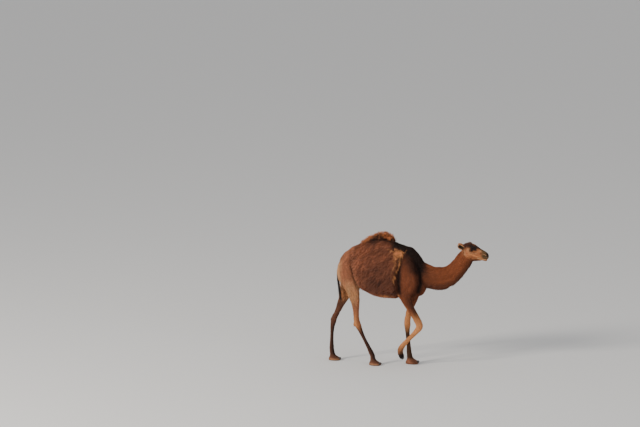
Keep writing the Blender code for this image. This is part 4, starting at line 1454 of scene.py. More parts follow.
    def legs(self, mix: Callable, p: Array, near: dict, places: Places) -> None:
        """Each lower leg's colours, with painted shade and a painted highlight: the lifted foreleg is
        golden, the others darken downwards.

        Args:
            mix: lays a colour over the others by a share.
            p: points in body coordinates.
            near: the shares of the parts, by their names.
            places: where the points lie on the parts.
        """
        c = self.colours
        x, _, z = p.T
        rise = places.local[:, 1]
        right, left, hind_right, hind_left = (near[name] for name in LEGS)
        lifted = right * (x > 0.3)
        hind = hind_right + hind_left
        # The far hind leg darkened from the thigh down: painted shade.
        mix(c.cannon, hind_left * ramp(z, 1.08, 0.85) * 0.8)
        mix(c.gold, hind_right * ramp(z, 0.9, 0.72) * 0.35)
        mix(c.gold, hind_right * bell((z - 0.64) / 0.075) * ramp(rise, 0.015, -0.015) * 0.8)
        for leg in (hind_right, hind_left):
            mix(c.cannon, leg * ramp(z, 0.6, 0.48))
            mix(c.black, leg * ramp(z, 0.64, 0.54) * ramp(rise, 0.004, 0.022) * 0.6)
            mix(c.foot, leg * ramp(z, 0.56, 0.4) * ramp(rise, -0.008, -0.024) * 0.45)
        # Black on the front of the lifted forearm: painted shade on the side turned from the light.
        shin = lifted * ramp(z, 1.2, 1.0) * ramp(z, 0.68, 0.84)
        mix(c.black, shin * ramp(rise, -0.02, 0.045) * 0.62)
        mix(c.gold, lifted * ramp(z + 0.03 * noise(p * 20, 8), 0.9, 0.62) * 0.95)
        # Golden band along the lifted foreleg's rear edge: a painted rim highlight.
        edge = gap_to(p[:, [0, 2]], ((0.392, 1.1), (0.41, 1.03), (0.464, 0.963), (0.535, 0.88)))
        mix(c.gold, bell(edge / 0.014) * lifted * 0.6)
        mix(c.crown, lifted * ramp(z, 0.35, 0.23) * 0.62)
        # Black lifted foot: partly dark toes, partly painted shade over toes and sole.
        mix(c.black, lifted * ramp(z + 0.02 * noise(p * 30, 17), 0.245, 0.175))
        mix(c.gold, left * ramp(z, 0.96, 0.74) * 0.85)
        mix(c.black, left * ramp(z + 0.03 * noise(p * 20, 9), 0.64, 0.46) * 0.9)
        standing = np.clip(hind + left, 0, 1)
        mix(c.foot, standing * ramp(z, 0.105, 0.055) * (0.55 + 0.45 * left))
        mix(c.pale, hind * ramp(z, 0.04, 0.018) * ramp(z, 0.004, 0.012) * 0.35)
        mix(c.cannon, standing * ramp(z, 0.022, 0.004) * 0.6)
        mix(c.cannon, hind * ramp(z, 0.115, 0.07) * ramp(z, 0.03, 0.06) * 0.55)

    def face(self, h: Array) -> Array:
        """The head's colours at points of the straight head, with painted shade under the jaw and round
        the eye.

        Args:
            h: the points.

        Returns:
            A linear colour for each point.
        """
        c = self.colours
        x, z, away = h[:, 0], h[:, 2], np.abs(h[:, 1])
        paint = Paint(c.cheek, h)
        mix, band, spot = paint.mix, paint.band, paint.spot
        mix(c.crown, ramp(z, 1.8, 1.855) * ramp(x, 1.53, 1.45) + ramp(x, 1.4, 1.36) * 0.6)
        # Darker under the jaw: painted shade.
        mix(c.throat, ramp(z, 1.665, 1.63) * 0.7)
        ridge = band(((1.5, 1.86), (1.56, 1.84), (1.62, 1.81), (1.7, 1.77)), 0.03)
        mix(c.dark_wool, ridge * ramp(away, 0.052, 0.024))
        mix(c.nose, band(((1.475, 1.868), (1.52, 1.856), (1.56, 1.838)), 0.02) * 0.75)
        # Dark patch from the brow down to the eye and the dark ring round the eye: partly dark hair,
        # partly painted shade under the brow.
        brow = np.hypot((x - 1.506) / 0.054, (z - 1.832 + 0.25 * (x - 1.506)) / 0.036)
        mix(c.nose, ramp(brow + 0.22 * noise(h * 75, 7), 1.5, 0.5) * ramp(away, 0.008, 0.034))
        mix(c.pale, spot((1.424, 1.808), (0.024, 0.028)) * 0.62)
        mix(c.pale, spot((1.612, 1.786), (0.03, 0.018)) * 0.55)
        eye = np.hypot(x - EYE[0], (z - EYE[2]) * 1.2)
        mix(c.black, ramp(eye, 0.04, 0.026) * 0.72 * (away > 0.03))
        mix(c.black, spot((1.47, 1.76), (0.016, 0.01)) * 0.6)
        mix(c.pale, band(((1.445, 1.768), (1.49, 1.757), (1.55, 1.752)), 0.01) * 0.45)
        mix(c.muzzle, ramp(x, 1.6, 1.65) * ramp(z, 1.655, 1.668))
        mix(c.olive, spot((1.672, 1.708), (0.044, 0.026)) * 0.9)
        mix(c.neck, spot((1.505, 1.69), (0.065, 0.016)) * 0.55)
        stripe = ((1.435, 1.747), (1.49, 1.728), (1.548, 1.706), (1.6, 1.686), (1.645, 1.668))
        mix(c.gold * 1.25, band(stripe, 0.0095) * 0.85)
        # Dark band under the jaw: painted shade.
        mix(c.throat, band(((1.43, 1.64), (1.5, 1.652), (1.57, 1.652)), 0.017) * 0.8)
        # Darker spot in front of the eye: painted shade.
        mix(c.dark_wool, spot((1.508, 1.768), (0.02, 0.018)) * 0.6)
        mix(c.crown, spot((1.612, 1.748), (0.018, 0.015)) * 0.6)
        soft = 0.006 * noise(h * 90, 6)
        mix(c.nose, ramp(x + soft, 1.684, 1.712) * ramp(z + soft, 1.684, 1.712) * 0.92)
        top = band(((1.55, 1.835), (1.62, 1.8), (1.69, 1.765)), 0.012)
        mix(c.nose, top * ramp(away, 0.026, 0.014) * 0.55)
        mix(c.nose, band(MOUTH, 0.0045) * 0.8)
        mix(c.nose, band(NOSTRIL, 0.0055) * ramp(away, 0.008, 0.016))
        rim = tuple((a + 0.002, b - 0.012) for a, b in NOSTRIL)
        mix(c.pale, band(rim, 0.005) * 0.65 * ramp(away, 0.01, 0.018))
        mix(c.pale, band(((1.57, 1.676), (1.61, 1.665), (1.65, 1.655), (1.7, 1.65)), 0.0095) * 0.85)
        mix(c.throat, band(((1.352, 1.79), (1.353, 1.735), (1.362, 1.695), (1.392, 1.64)), 0.01) * 0.65)
        mix(c.pale, band(((1.374, 1.79), (1.377, 1.735), (1.386, 1.7), (1.418, 1.642)), 0.0085) * 0.65)
        return paint.tone

    def ear(self, local: Array, hollow: Array, ear: Ear) -> Array:
        """An ear's colours: tan outside, a pale rim, and a dark olive hollow.

        Args:
            local: points of the upright ear.
            hollow: how far each faces out of the hollow.
            ear: the ear.

        Returns:
            A linear colour for each point.
        """
        c = self.colours
        across = np.abs(local[:, 1]) / (0.5 * ear.width)
        up = np.clip(local[:, 2] / ear.length + 0.16, 0, 1)
        inside = hollow * ramp(across, 0.78, 0.46) * ramp(up, 0.94, 0.74)
        rim = np.maximum(ramp(across, 0.46, 0.78), ramp(up, 0.72, 0.92))
        paint = Paint(c.cheek * 0.75 + c.crown * 0.25, local)
        paint.mix(c.pale, rim * (0.3 + 0.65 * hollow))
        paint.mix(c.olive * 0.45 + c.nose * 0.55, inside)
        return paint.tone


# ---- the coat


@dataclass
class Roots:
    """Where locks grow: points, normals, the lie of the hair, tones and places on the unwrap."""

    p: Array
    n: Array
    lie: Array
    tone: Array
    uv: Array

    def __add__(self, other: "Roots") -> "Roots":
        """Both lots of roots."""
        pairs = zip(vars(self).values(), vars(other).values())
        return Roots(*(np.concatenate(pair) for pair in pairs))


@dataclass
class Cut:
    """The cut of each lock, as arrays: sizes in metres, and turns of curl."""

    length: Array
    width: Array
    lift: Array  # how far the middle of the lock stands off its root
    curl: Array  # radius of the curl
    turns: Array
    droop: Array  # how far the tip bends down
    phase: Array | None = None  # where the curl starts

    @classmethod
    def drawn(cls, rng: Chance, many: int, sizes: tuple, turns: tuple, droop: object) -> "Cut":
        """A cut whose sizes differ from lock to lock.

        Args:
            rng: the source of chance.
            many: how many locks.
            sizes: length, width, lift and curl, each with the share by which it varies.
            turns: the fewest turns of curl, and how many more there may be.
            droop: how far the tips bend down.

        Returns:
            The cut.
        """
        made = [varied(rng, value, share, many) for value, share in sizes]
        return cls(*made, turns[0] + turns[1] * rng.random(many), droop + np.zeros(many))


PATCH = 0.003  # how wide a lock is on the map that the export bakes
RING = (0.0, 0.5, 1.0)  # how far across the lock the three corners of a ring lie


def on_map(u: Array, v: Array) -> Array:
    """Places on the unwrap, kept off its edges by the width of a lock."""
    return np.stack([u, v], axis=1).clip(PATCH, 1 - PATCH)


def locks(roots: Roots, cut: Cut, rings: int, rng: Chance, tip_tone: float = 1.25) -> tuple:
    """Tapered, closed, three-sided locks.

    The middle line is root + lie * length * s + normal * lift * (1 - (1 - s)^2), with a curl of
    side * sin + normal * cos that grows with sqrt(s), and a droop of s^2. The half width is
    width * (0.62 + 0.95 s - 1.55 s^2), down to a point at the tip.

    Args:
        roots: where the locks grow.
        cut: their sizes.
        rings: rings of three points below the tip.
        rng: the source of the phases.
        tip_tone: how much lighter the tips are than the roots.

    Returns:
        The surface, a tone for each point and a place on the unwrap for each point.
    """
    many = len(roots.p)
    s = (np.arange(rings + 1) / rings)[None, :, None]
    side = unit(np.cross(roots.n, roots.lie))[:, None]
    lie, up = roots.lie[:, None], roots.n[:, None]
    size = {k: v[:, None, None] for k, v in vars(cut).items() if v is not None}
    phase = size.get("phase", rng.uniform(0, TAU, many)[:, None, None])
    turn = TAU * size["turns"] * s + phase
    grow = np.sqrt(s) * size["curl"]
    sink = np.minimum(0.0012, 0.3 * size["lift"])
    line = roots.p[:, None] - up * sink + lie * size["length"] * s
    line = line + up * size["lift"] * (1 - (1 - s) ** 2)
    line = line + side * grow * (np.sin(turn) - np.sin(phase))
    line = line + up * grow * 0.7 * (1 + np.cos(turn)) * s
    line[..., 2:] -= size["droop"] * s**2
    half = size["width"] * (0.62 + 0.95 * s - 1.55 * s**2)
    half = np.maximum(half[:, :-1], 0.0002)
    middle = line[:, :-1]
    ring = np.stack([middle + side * half, middle + up * half * 0.75, middle - side * half], axis=2)
    points = np.concatenate([ring.reshape(many, -1, 3), line[:, -1:]], axis=1)
    each = rings * 3 + 1
    k = np.arange(3)
    j = (k + 1) % 3
    wall = np.stack([k, j, 3 + j, 3 + k], axis=1)
    quads = np.concatenate([wall + 3 * r for r in range(rings - 1)])
    tip = np.full(3, each - 1)
    tris = np.concatenate([np.stack([3 * rings - 3 + k, 3 * rings - 3 + j, tip], axis=1), [[2, 1, 0]]])
    starts = (np.arange(many) * each)[:, None, None]
    quads, tris = (quads + starts).reshape(-1, 4), (tris + starts).reshape(-1, 3)
    surface = Surface(points.reshape(-1, 3), quads, tris)
    along = np.concatenate([np.repeat(s[0, :-1, 0], 3), [1.0]])
    # Roots darker than tips: partly sun-bleached tips, partly painted shade among the hairs.
    shade = 0.72 + (tip_tone - 0.72) * along**0.8
    bright = rng.normal(1, 0.1, many).clip(0.65, 1.4)[:, None, None]
    warm = 1 + rng.normal(0, 0.035, (many, 1, 1)) * np.array((1.0, 0.0, -1.0))
    tone = roots.tone[:, None] * shade[None, :, None] * bright * warm
    across = np.append(np.tile(RING, rings), 0.5)
    uv = roots.uv[:, None] + PATCH * (np.stack([across, along], axis=1)[None] - 0.5)
    return surface, tone.reshape(-1, 3).clip(0, 1), uv.reshape(-1, 2)


def clumped(roots: Roots, cell: float, pull: float, rng: Chance) -> tuple[Roots, Array]:
    """Gathers locks into clumps that lean together and share a shade.

    A clump holds the roots of one cell of a warped lattice. Each lock's lie is turned towards
    the clump's middle by the pull, and swayed with the clump.

    Args:
        roots: the roots.
        cell: how wide a clump is.
        pull: how far the tips close up, from 0 to 1.
        rng: the source of chance.

    Returns:
        The roots with new lies and tones, and a random number for each root's clump.
    """
    warp = 0.45 * cell * np.sin(roots.p[:, [1, 2, 0]] * 2.1 / cell + 1.3)
    key = np.floor((roots.p + warp) / cell).astype(np.int64)
    _, clump = np.unique(key, axis=0, return_inverse=True)
    clump = clump.ravel()
    count = np.bincount(clump)
    middle = np.stack([np.bincount(clump, roots.p[:, k]) / count for k in range(3)], axis=1)
    sway = rng.normal(0, 0.32 * pull, (len(count), 3))
    lie = roots.lie + pull * (middle[clump] - roots.p) / (cell * 1.2) + sway[clump]
    tone = roots.tone * rng.normal(1, 0.12, len(count)).clip(0.65, 1.4)[clump][:, None]
    made = Roots(roots.p, roots.n, laid(lie, roots.n), tone, roots.uv)
    return made, rng.random(len(count))[clump]


def areas(corners: Array) -> Array:
    """Twice the area of each triangle."""
    a, b, c = corners.transpose(1, 0, 2)
    return np.linalg.norm(np.cross(b - a, c - a), axis=1)


def spread(
    corners: Array, normals: Array, weight: Array, count: int, rng: Chance
) -> tuple[Array, Array]:
    """Points spread evenly over triangles by weight: steps of equal weight, each with a jitter.

    Args:
        corners: the triangles' corners.
        normals: the corners' normals.
        weight: how many locks each triangle asks for.
        count: how many points.
        rng: the source of chance.

    Returns:
        The points and their normals.
    """
    total = np.cumsum(weight)
    at = (np.arange(count) + rng.random(count)) / count * total[-1]
    pick = np.minimum(np.searchsorted(total, at), len(weight) - 1)
    a, b = rng.random((2, count, 1))
    flip = a + b > 1
    a, b = np.where(flip, 1 - a, a), np.where(flip, 1 - b, b)
    share = np.stack([1 - a - b, a, b], axis=1)
    p = (corners[pick] * share).sum(1)
    return p, unit((normals[pick] * share).sum(1))


@dataclass
class Pelt:
    """The skin as a place for locks to grow on."""

    skin: Surface
    ears: list
    anatomy: Anatomy
    markings_and_shade: MarkingsAndShade
    rng: Chance

    def __post_init__(self) -> None:
        """Reads the middle, size and normal of each triangle."""
        t = self.skin.triangles()
        self.corners = self.skin.points[t]
        self.area = areas(self.corners) / 2
        self.middles = self.corners.mean(1)
        self.corner_normals = self.skin.normals()[t]
        self.places = self.anatomy.read(self.middles)

    def roots(self, count: int, weight: Array, parts: tuple, jitter: float) -> Roots:
        """Roots on the skin.

        The lie runs along the body's part, pulled down by its weight on the sides, swayed by slow
        waves and jittered. On the unwrap, each of the parts has a column, with the angle round the
        part across it and the share of its length up it.

        Args:
            count: how many.
            weight: how thickly each triangle is covered.
            parts: the parts' names, in the order of their columns.
            jitter: how unruly the lie is.

        Returns:
            The roots.
        """
        p, n = spread(self.corners, self.corner_normals, weight * self.area, count, self.rng)
        places = self.anatomy.read(p)
        lie = places.lie.copy()
        near = self.anatomy.near(places)
        body = 1.6 * near["trunk"] + 0.5 * near["neck"]
        lie[:, 0] = np.where(near["trunk"] > 0.4, -np.abs(lie[:, 0]), lie[:, 0])
        lie[:, 2] -= 0.75 * body * ramp(np.abs(n[:, 1]), 0.2, 0.8)
        x, _, z = p.T
        wave = np.stack([np.sin(19 * z + 5 * x), np.sin(11 * x), np.sin(15 * x - 8 * z)], axis=1)
        lie = laid(lie + 0.18 * wave + self.rng.normal(0, jitter, p.shape), n)
        tone = self.markings_and_shade.at(p, places)
        order = np.array([parts.index(name) if name in parts else 0 for name in self.anatomy.names])
        column = order[places.part]
        u = (column + 0.02 + 0.96 * (places.local[:, 3] + math.pi) / TAU) / len(parts)
        v = 0.01 + 0.98 * np.clip(places.local[:, 4], 0, 1)
        return Roots(p, n, lie, tone, on_map(u, v))

    def ear_roots(self, count: int) -> Roots:
        """Roots on both ears, whose hair lies from root to tip.

        Args:
            count: how many roots.

        Returns:
            The roots.
        """
        found = []
        for k, (ear, surface) in enumerate(self.ears):
            t = surface.triangles()
            corners, normals = surface.points[t], surface.normals()[t]
            p, n = spread(corners, normals, areas(corners), count // 2, self.rng)
            lie = np.array(ear.matrix())[:3, 2] + self.rng.normal(0, 0.25, p.shape)
            local, hollow = ear.local(p, n)
            u = 0.5 + 0.25 * k + 0.22 * (local[:, 1] / ear.width + 0.5)
            v = 0.02 + 0.9 * (local[:, 2] / ear.length + 0.17)
            tone = self.markings_and_shade.ear(local, hollow, ear)
            found.append(Roots(p, n, laid(lie, n), tone, on_map(u, v)))
        return found[0] + found[1]


@dataclass(frozen=True)
class Region:
    """One piece of coat: where it grows, how thickly and how its locks are cut."""

    name: str
    slot: str
    count: int
    rings: int
    parts: tuple
    cover: Callable  # points and shares of the parts -> how thickly each triangle is covered
    cut: Callable  # roots and the source of chance -> Cut
    jitter: float  # how unruly the lie is
    tip_tone: float
    clump: float  # how wide a clump is
    pull: float  # how far its tips close up


def varied(rng: Chance, value: Array | float, spread: float, count: int) -> Array:
    """So many values about the given one, each off by a share of it."""
    return value * rng.normal(1, spread, count).clip(0.5, 1.6)


def sleek_cut(roots: Roots, rng: Chance) -> Cut:
    """Short flat hair of the neck, shoulder and rump, with a shag behind the lower thigh.

    Args:
        roots: where the locks grow.
        rng: the source of chance.

    Returns:
        The cut of the locks.
    """
    p = roots.p
    x, y, z = p.T
    shag = hill(x, z, (-0.34, 1.08), (0.1, 0.1)) * (x > -0.48) * (y < 0)
    inner = ramp(y, 0.19, 0.14)
    shag = np.maximum(shag, hill(x, z, (-0.52, 1.05), (0.09, 0.1)) * (0.3 + 0.7 * inner))
    under = ramp(x, 0.7, 0.85) * ramp(roots.n[:, 2], -0.45, -0.85)
    nape = ramp(x, 0.85, 1.05) * ramp(roots.n[:, 2], 0.55, 0.9)
    withers = bell(gap_to(p[:, [0, 2]], WITHERS) / 0.08)
    length = 0.026 + 0.02 * under + 0.008 * nape + 0.012 * withers + 0.022 * shag
    curl = 0.0006 + 0.0035 * shag + 0.001 * under + 0.001 * withers
    lift = 0.0026 + 0.004 * under + 0.003 * nape + 0.003 * withers + 0.007 * shag
    width = 0.0019 + 0.001 * shag + 0.0004 * under
    far = (y > 0) * inner * bell((x + 0.565) / 0.045) * ramp(z, 0.98, 1.14) * ramp(z, 1.32, 1.22)
    sizes = ((length + 0.022 * far, 0.22), (width, 0.2), (lift + 0.028 * far, 0.3), (curl, 0.4))
    return Cut.drawn(rng, len(p), sizes, (0.6 + 0.8 * shag, 0.3), 0.012 * under + 0.006 * shag)


def wool_cut(roots: Roots, rng: Chance) -> Cut:
    """Curly wool of the barrel, longest at its lower and front edges and over the hump's foot.

    Args:
        roots: where the locks grow.
        rng: the source of chance.

    Returns:
        The cut of the locks.
    """
    p = roots.p
    x, _, z = p.T
    front = bell(gap_to(p[:, [0, 2]], FRINGE_LINE) / 0.045)
    low = ramp(z, 1.1, 1.045)
    top = ramp(z, 1.78, 1.88)
    length = 0.038 + 0.014 * low + 0.014 * front + 0.006 * top
    curl = 0.0034 + 0.003 * front + 0.0016 * low + 0.0012 * top
    lift = 0.007 + 0.005 * front - 0.002 * ramp(x, -0.15, -0.32)
    sizes = ((length, 0.25), (0.0025, 0.22), (lift, 0.35), (curl, 0.4))
    return Cut.drawn(rng, len(p), sizes, (0.7, 0.6), 0.01 * low + 0.006 * front)


def leg_cut(roots: Roots, rng: Chance) -> Cut:
    """Hair that shortens from the forearms to the feet.

    Args:
        roots: where the locks grow.
        rng: the source of chance.

    Returns:
        The cut of the locks.
    """
    x, y, z = roots.p.T
    down = ramp(z, 0.85, 0.55)
    foot = ramp(z, 0.14, 0.08) * ~((x > 0.3) & (y < 0))
    length = 0.023 - 0.008 * down - 0.006 * foot
    lift = 0.003 - 0.0008 * down - 0.0012 * foot
    knee = bell((z - 0.64) / 0.07) * (roots.n[:, 0] > -0.2)
    sizes = ((length + 0.004 * knee, 0.22), (0.0016 - 0.0004 * down, 0.2))
    sizes += ((lift + 0.001 * knee, 0.3), (0.0006 + 0.0012 * knee, 0.4))
    return Cut.drawn(rng, len(z), sizes, (0.5, 0.4), 0.0)


def face_cut(roots: Roots, rng: Chance) -> Cut:
    """Fine short hair: 6 mm at the muzzle, 12 mm on the cheeks and 18 mm at the jaw's edge.

    Args:
        roots: where the locks grow.
        rng: the source of chance.

    Returns:
        The cut of the locks.
    """
    x, _, z = to_head(roots.p).T
    back = ramp(x, 1.62, 1.4)
    jaw = ramp(z, 1.68, 1.645) * ramp(x, 1.54, 1.45)
    eye = ramp(np.hypot(x - EYE[0], z - EYE[2]), 0.055, 0.025)
    length = (0.007 + 0.0075 * back + 0.009 * jaw) * (1 - 0.4 * eye)
    lift = 0.0012 + 0.001 * back + 0.002 * jaw
    sizes = ((length, 0.22), (0.0007 + 0.0004 * back, 0.2))
    sizes += ((lift * (1 - 0.5 * eye), 0.3), (0.0002 + 0.0005 * back, 0.4))
    return Cut.drawn(rng, len(x), sizes, (0.5, 0.4), 0.0)


def crown_cut(roots: Roots, rng: Chance) -> Cut:
    """The crown's mop, the shag of the throat and the hair behind the jaw.

    Args:
        roots: where the locks grow.
        rng: the source of chance.

    Returns:
        The cut of the locks.
    """
    x, _, z = to_head(roots.p).T
    top = ramp(z, 1.84, 1.87) * ramp(x, 1.51, 1.45)
    throat = ramp(roots.n[:, 2], -0.3, -0.8)
    lift = 0.0026 + 0.015 * top + 0.003 * throat
    curl = 0.0008 + 0.0034 * top + 0.001 * throat
    sizes = ((0.02 + 0.022 * top + 0.014 * throat, 0.25), (0.0014 + 0.0009 * top, 0.2))
    sizes += ((lift, 0.35), (curl, 0.4))
    return Cut.drawn(rng, len(x), sizes, (0.7, 0.8), 0.006 * throat)


def in_face(p: Array, near: dict) -> Array:
    """The face, thickest near the muzzle where the locks are smallest, and bare lips and nostrils.

    Args:
        p: points in body coordinates.
        near: the shares of the parts, by their names.

    Returns:
        How much hair each point carries, 0 for none.
    """
    h = to_head(p)
    x, _, z = h.T
    flat = h[:, [0, 2]]
    bare = ramp(gap_to(flat, MOUTH), 0.004, 0.009) * ramp(gap_to(flat, NOSTRIL), 0.005, 0.01)
    eye = ramp(np.hypot(x - EYE[0], (z - EYE[2]) * 1.2), 0.0185, 0.0225)
    for side, _ in SIDES:
        eye = eye * (np.linalg.norm(h - eye_frame(side)[0], axis=1) > EYE_RADIUS + 0.0002)
    return near["head"] * ramp(x, 1.375, 1.395) * bare * eye * (1 + 1.6 * ramp(x, 1.5, 1.62))


def up_neck(p: Array) -> Array:
    """How far up the neck a point lies, where the crown's hair meets the neck's."""
    return p[:, 0] - 0.35 * (p[:, 2] - 1.6)


def in_crown(p: Array, near: dict) -> Array:
    """The back of the head and the top of the neck, thickest on the crown.

    Args:
        p: points in body coordinates.
        near: the shares of the parts, by their names.

    Returns:
        How much hair each point carries, 0 for none.
    """
    x, _, z = to_head(p).T
    back = (p[:, 0] > 1.1) * (p[:, 2] > 1.26) * ramp(up_neck(p), 1.25, 1.29)
    crown = ramp(z, 1.84, 1.862) * ramp(x, 1.51, 1.46)
    behind = np.maximum(ramp(x, 1.4, 1.385), near["neck"])
    return back * np.maximum(behind, crown) * (0.8 + 2.2 * crown)


def in_neck(p: Array, near: dict) -> Array:
    """The neck ahead of the shoulder."""
    return ramp(p[:, 0], 0.7, 0.76) * ramp(up_neck(p), 1.29, 1.25) * (p[:, 2] > 1.0)


HUMP_FOOT = 1.64  # height that parts the hump's wool from the barrel's


def in_hump(p: Array, near: dict) -> Array:
    """The hump above the barrel, on both sides."""
    return in_wool(p) * (p[:, 2] > HUMP_FOOT) * (above_crest_foot(p) < 0)


def in_side(side: int) -> Callable:
    """One side's wool below the hump, with its half of the belly.

    Args:
        side: 1 on the left, -1 on the right.

    Returns:
        A function of points and near, like those of the other regions.
    """

    def cover(p: Array, near: dict) -> Array:
        """Where that side's wool grows."""
        thigh = near["hindleg_right"] + near["hindleg_left"]
        return in_wool(p) * (p[:, 2] <= HUMP_FOOT) * (p[:, 1] * side > 0) * (thigh < 0.6)

    return cover


def in_shoulder(p: Array, near: dict) -> Array:
    """The withers, shoulder, chest and upper forelegs."""
    return (p[:, 0] > 0.3) * (p[:, 0] <= 0.74) * (p[:, 2] > 0.9) * (1 - in_wool(p))


def in_rump(p: Array, near: dict) -> Array:
    """The rump, thighs and flanks behind the wool."""
    return (p[:, 0] <= 0.3) * (p[:, 2] > 0.88) * (1 - in_wool(p))


def in_legs(p: Array, near: dict) -> Array:
    """All four lower legs, thicker towards the feet where the locks are smaller.

    Args:
        p: points in body coordinates.
        near: not used.

    Returns:
        How much hair each point carries, 0 for none.
    """
    x, _, z = p.T
    pad = ramp(z, 0.012, 0.035)
    return (z <= 0.94) * ((x > 0.3) | (z <= 0.9)) * pad * (1 + 1.2 * ramp(z, 0.8, 0.4))


# Jitter, tip tone, clump and pull of the coats.
FACIAL = (0.1, 1.15, 0.009, 0.3)
MOP = (0.3, 1.4, 0.02, 0.9)
SLEEK = (0.09, 1.2, 0.022, 0.4)
LEGGED = (0.09, 1.2, 0.016, 0.3)
WOOLLY = (0.26, 1.32, 0.03, 0.9)
SHOULDER_PARTS = ("trunk", "neck", *LEGS[:2])
RUMP_PARTS = ("trunk", "tail", *LEGS[2:])


def wool_side(name: str, side: int) -> Region:
    """The region of one side's wool."""
    parts = ("trunk", f"foreleg_{name}", f"hindleg_{name}")
    return Region(f"wool_{name}", "woolly_coat", 9300, 3, parts, in_side(side), wool_cut, *WOOLLY)


REGIONS = (
    Region("coat_face", "sleek_coat", 15600, 2, ("head",), in_face, face_cut, *FACIAL),
    Region("coat_crown", "sleek_coat", 6000, 3, ("head", "neck"), in_crown, crown_cut, *MOP),
    Region("coat_neck", "sleek_coat", 15000, 2, ("neck",), in_neck, sleek_cut, *SLEEK),
    Region("coat_shoulder", "sleek_coat", 14500, 2, SHOULDER_PARTS, in_shoulder, sleek_cut, *SLEEK),
    Region("coat_rump", "sleek_coat", 15500, 2, RUMP_PARTS, in_rump, sleek_cut, *SLEEK),
    Region("coat_legs", "sleek_coat", 13500, 2, LEGS, in_legs, leg_cut, *LEGGED),
    *(wool_side(name, side) for side, name in SIDES),
    Region("wool_hump", "woolly_coat", 8200, 3, ("trunk", "neck"), in_hump, wool_cut, *WOOLLY),
)


REACH_AHEAD, REACH_BACK, REACH_ASIDE, REACH_UP = 1.722, 0.767, 0.29, 2.034  # where tips are eased
COAT_GAP = 0.0006  # how far the lowest hair stands off the floor


def coat_mesh(
    name: str, roots: Roots, cut: Cut, rings: int, rng: Chance, tip: float
) -> bpy.types.Mesh:
    """The mesh of one piece of coat, with its tones, its strands and its map.

    Its tips are eased where they come near the reach of the solids.

    Args:
        name: the mesh's name.
        roots: where the locks grow.
        cut: the sizes of the locks.
        rings: rings of three points below the tip.
        rng: the source of chance.
        tip: how much lighter the tips are than the roots.

    Returns:
        The mesh.
    """
    surface, tone, uv = locks(roots, cut, rings, rng, tip)
    x, y, z = surface.points.T
    x = -eased(-eased(x, REACH_AHEAD, 0.006, 0.01), REACH_BACK, 0.006, 0.01)
    y = np.sign(y) * eased(np.abs(y), REACH_ASIDE, 0.012, 0.018)
    z = eased(np.maximum(z, COAT_GAP), REACH_UP, 0.007, 0.012)
    surface.points = np.stack([x, y, z], axis=1)
    mesh = new_mesh(name, surface, tone)
    many = len(roots.p)
    across = np.append(np.tile(RING, rings), 0.5)
    strand = np.tile(across, many) + np.repeat(rng.random(many) * 40, len(across))
    along = np.tile(np.append(np.repeat(np.arange(rings) / rings, 3), 1), many)
    add_values(mesh, "Strand", np.stack([strand, along, 0 * strand], axis=1))
    corners = np.empty(len(mesh.loops), np.int32)
    mesh.loops.foreach_get("vertex_index", corners)
    layer = mesh.uv_layers.new(name="OFBake")
    layer.data.foreach_set("uv", uv[corners].astype(np.float32).ravel())
    return mesh


# How many locks both ears, the fringe and the tail have, and lashes an eye.
EAR_LOCKS, FRINGE_LOCKS, TAIL_LOCKS, LASHES = 1800, 2700, 800, 64

# ---- crest, fringe, tail and lashes


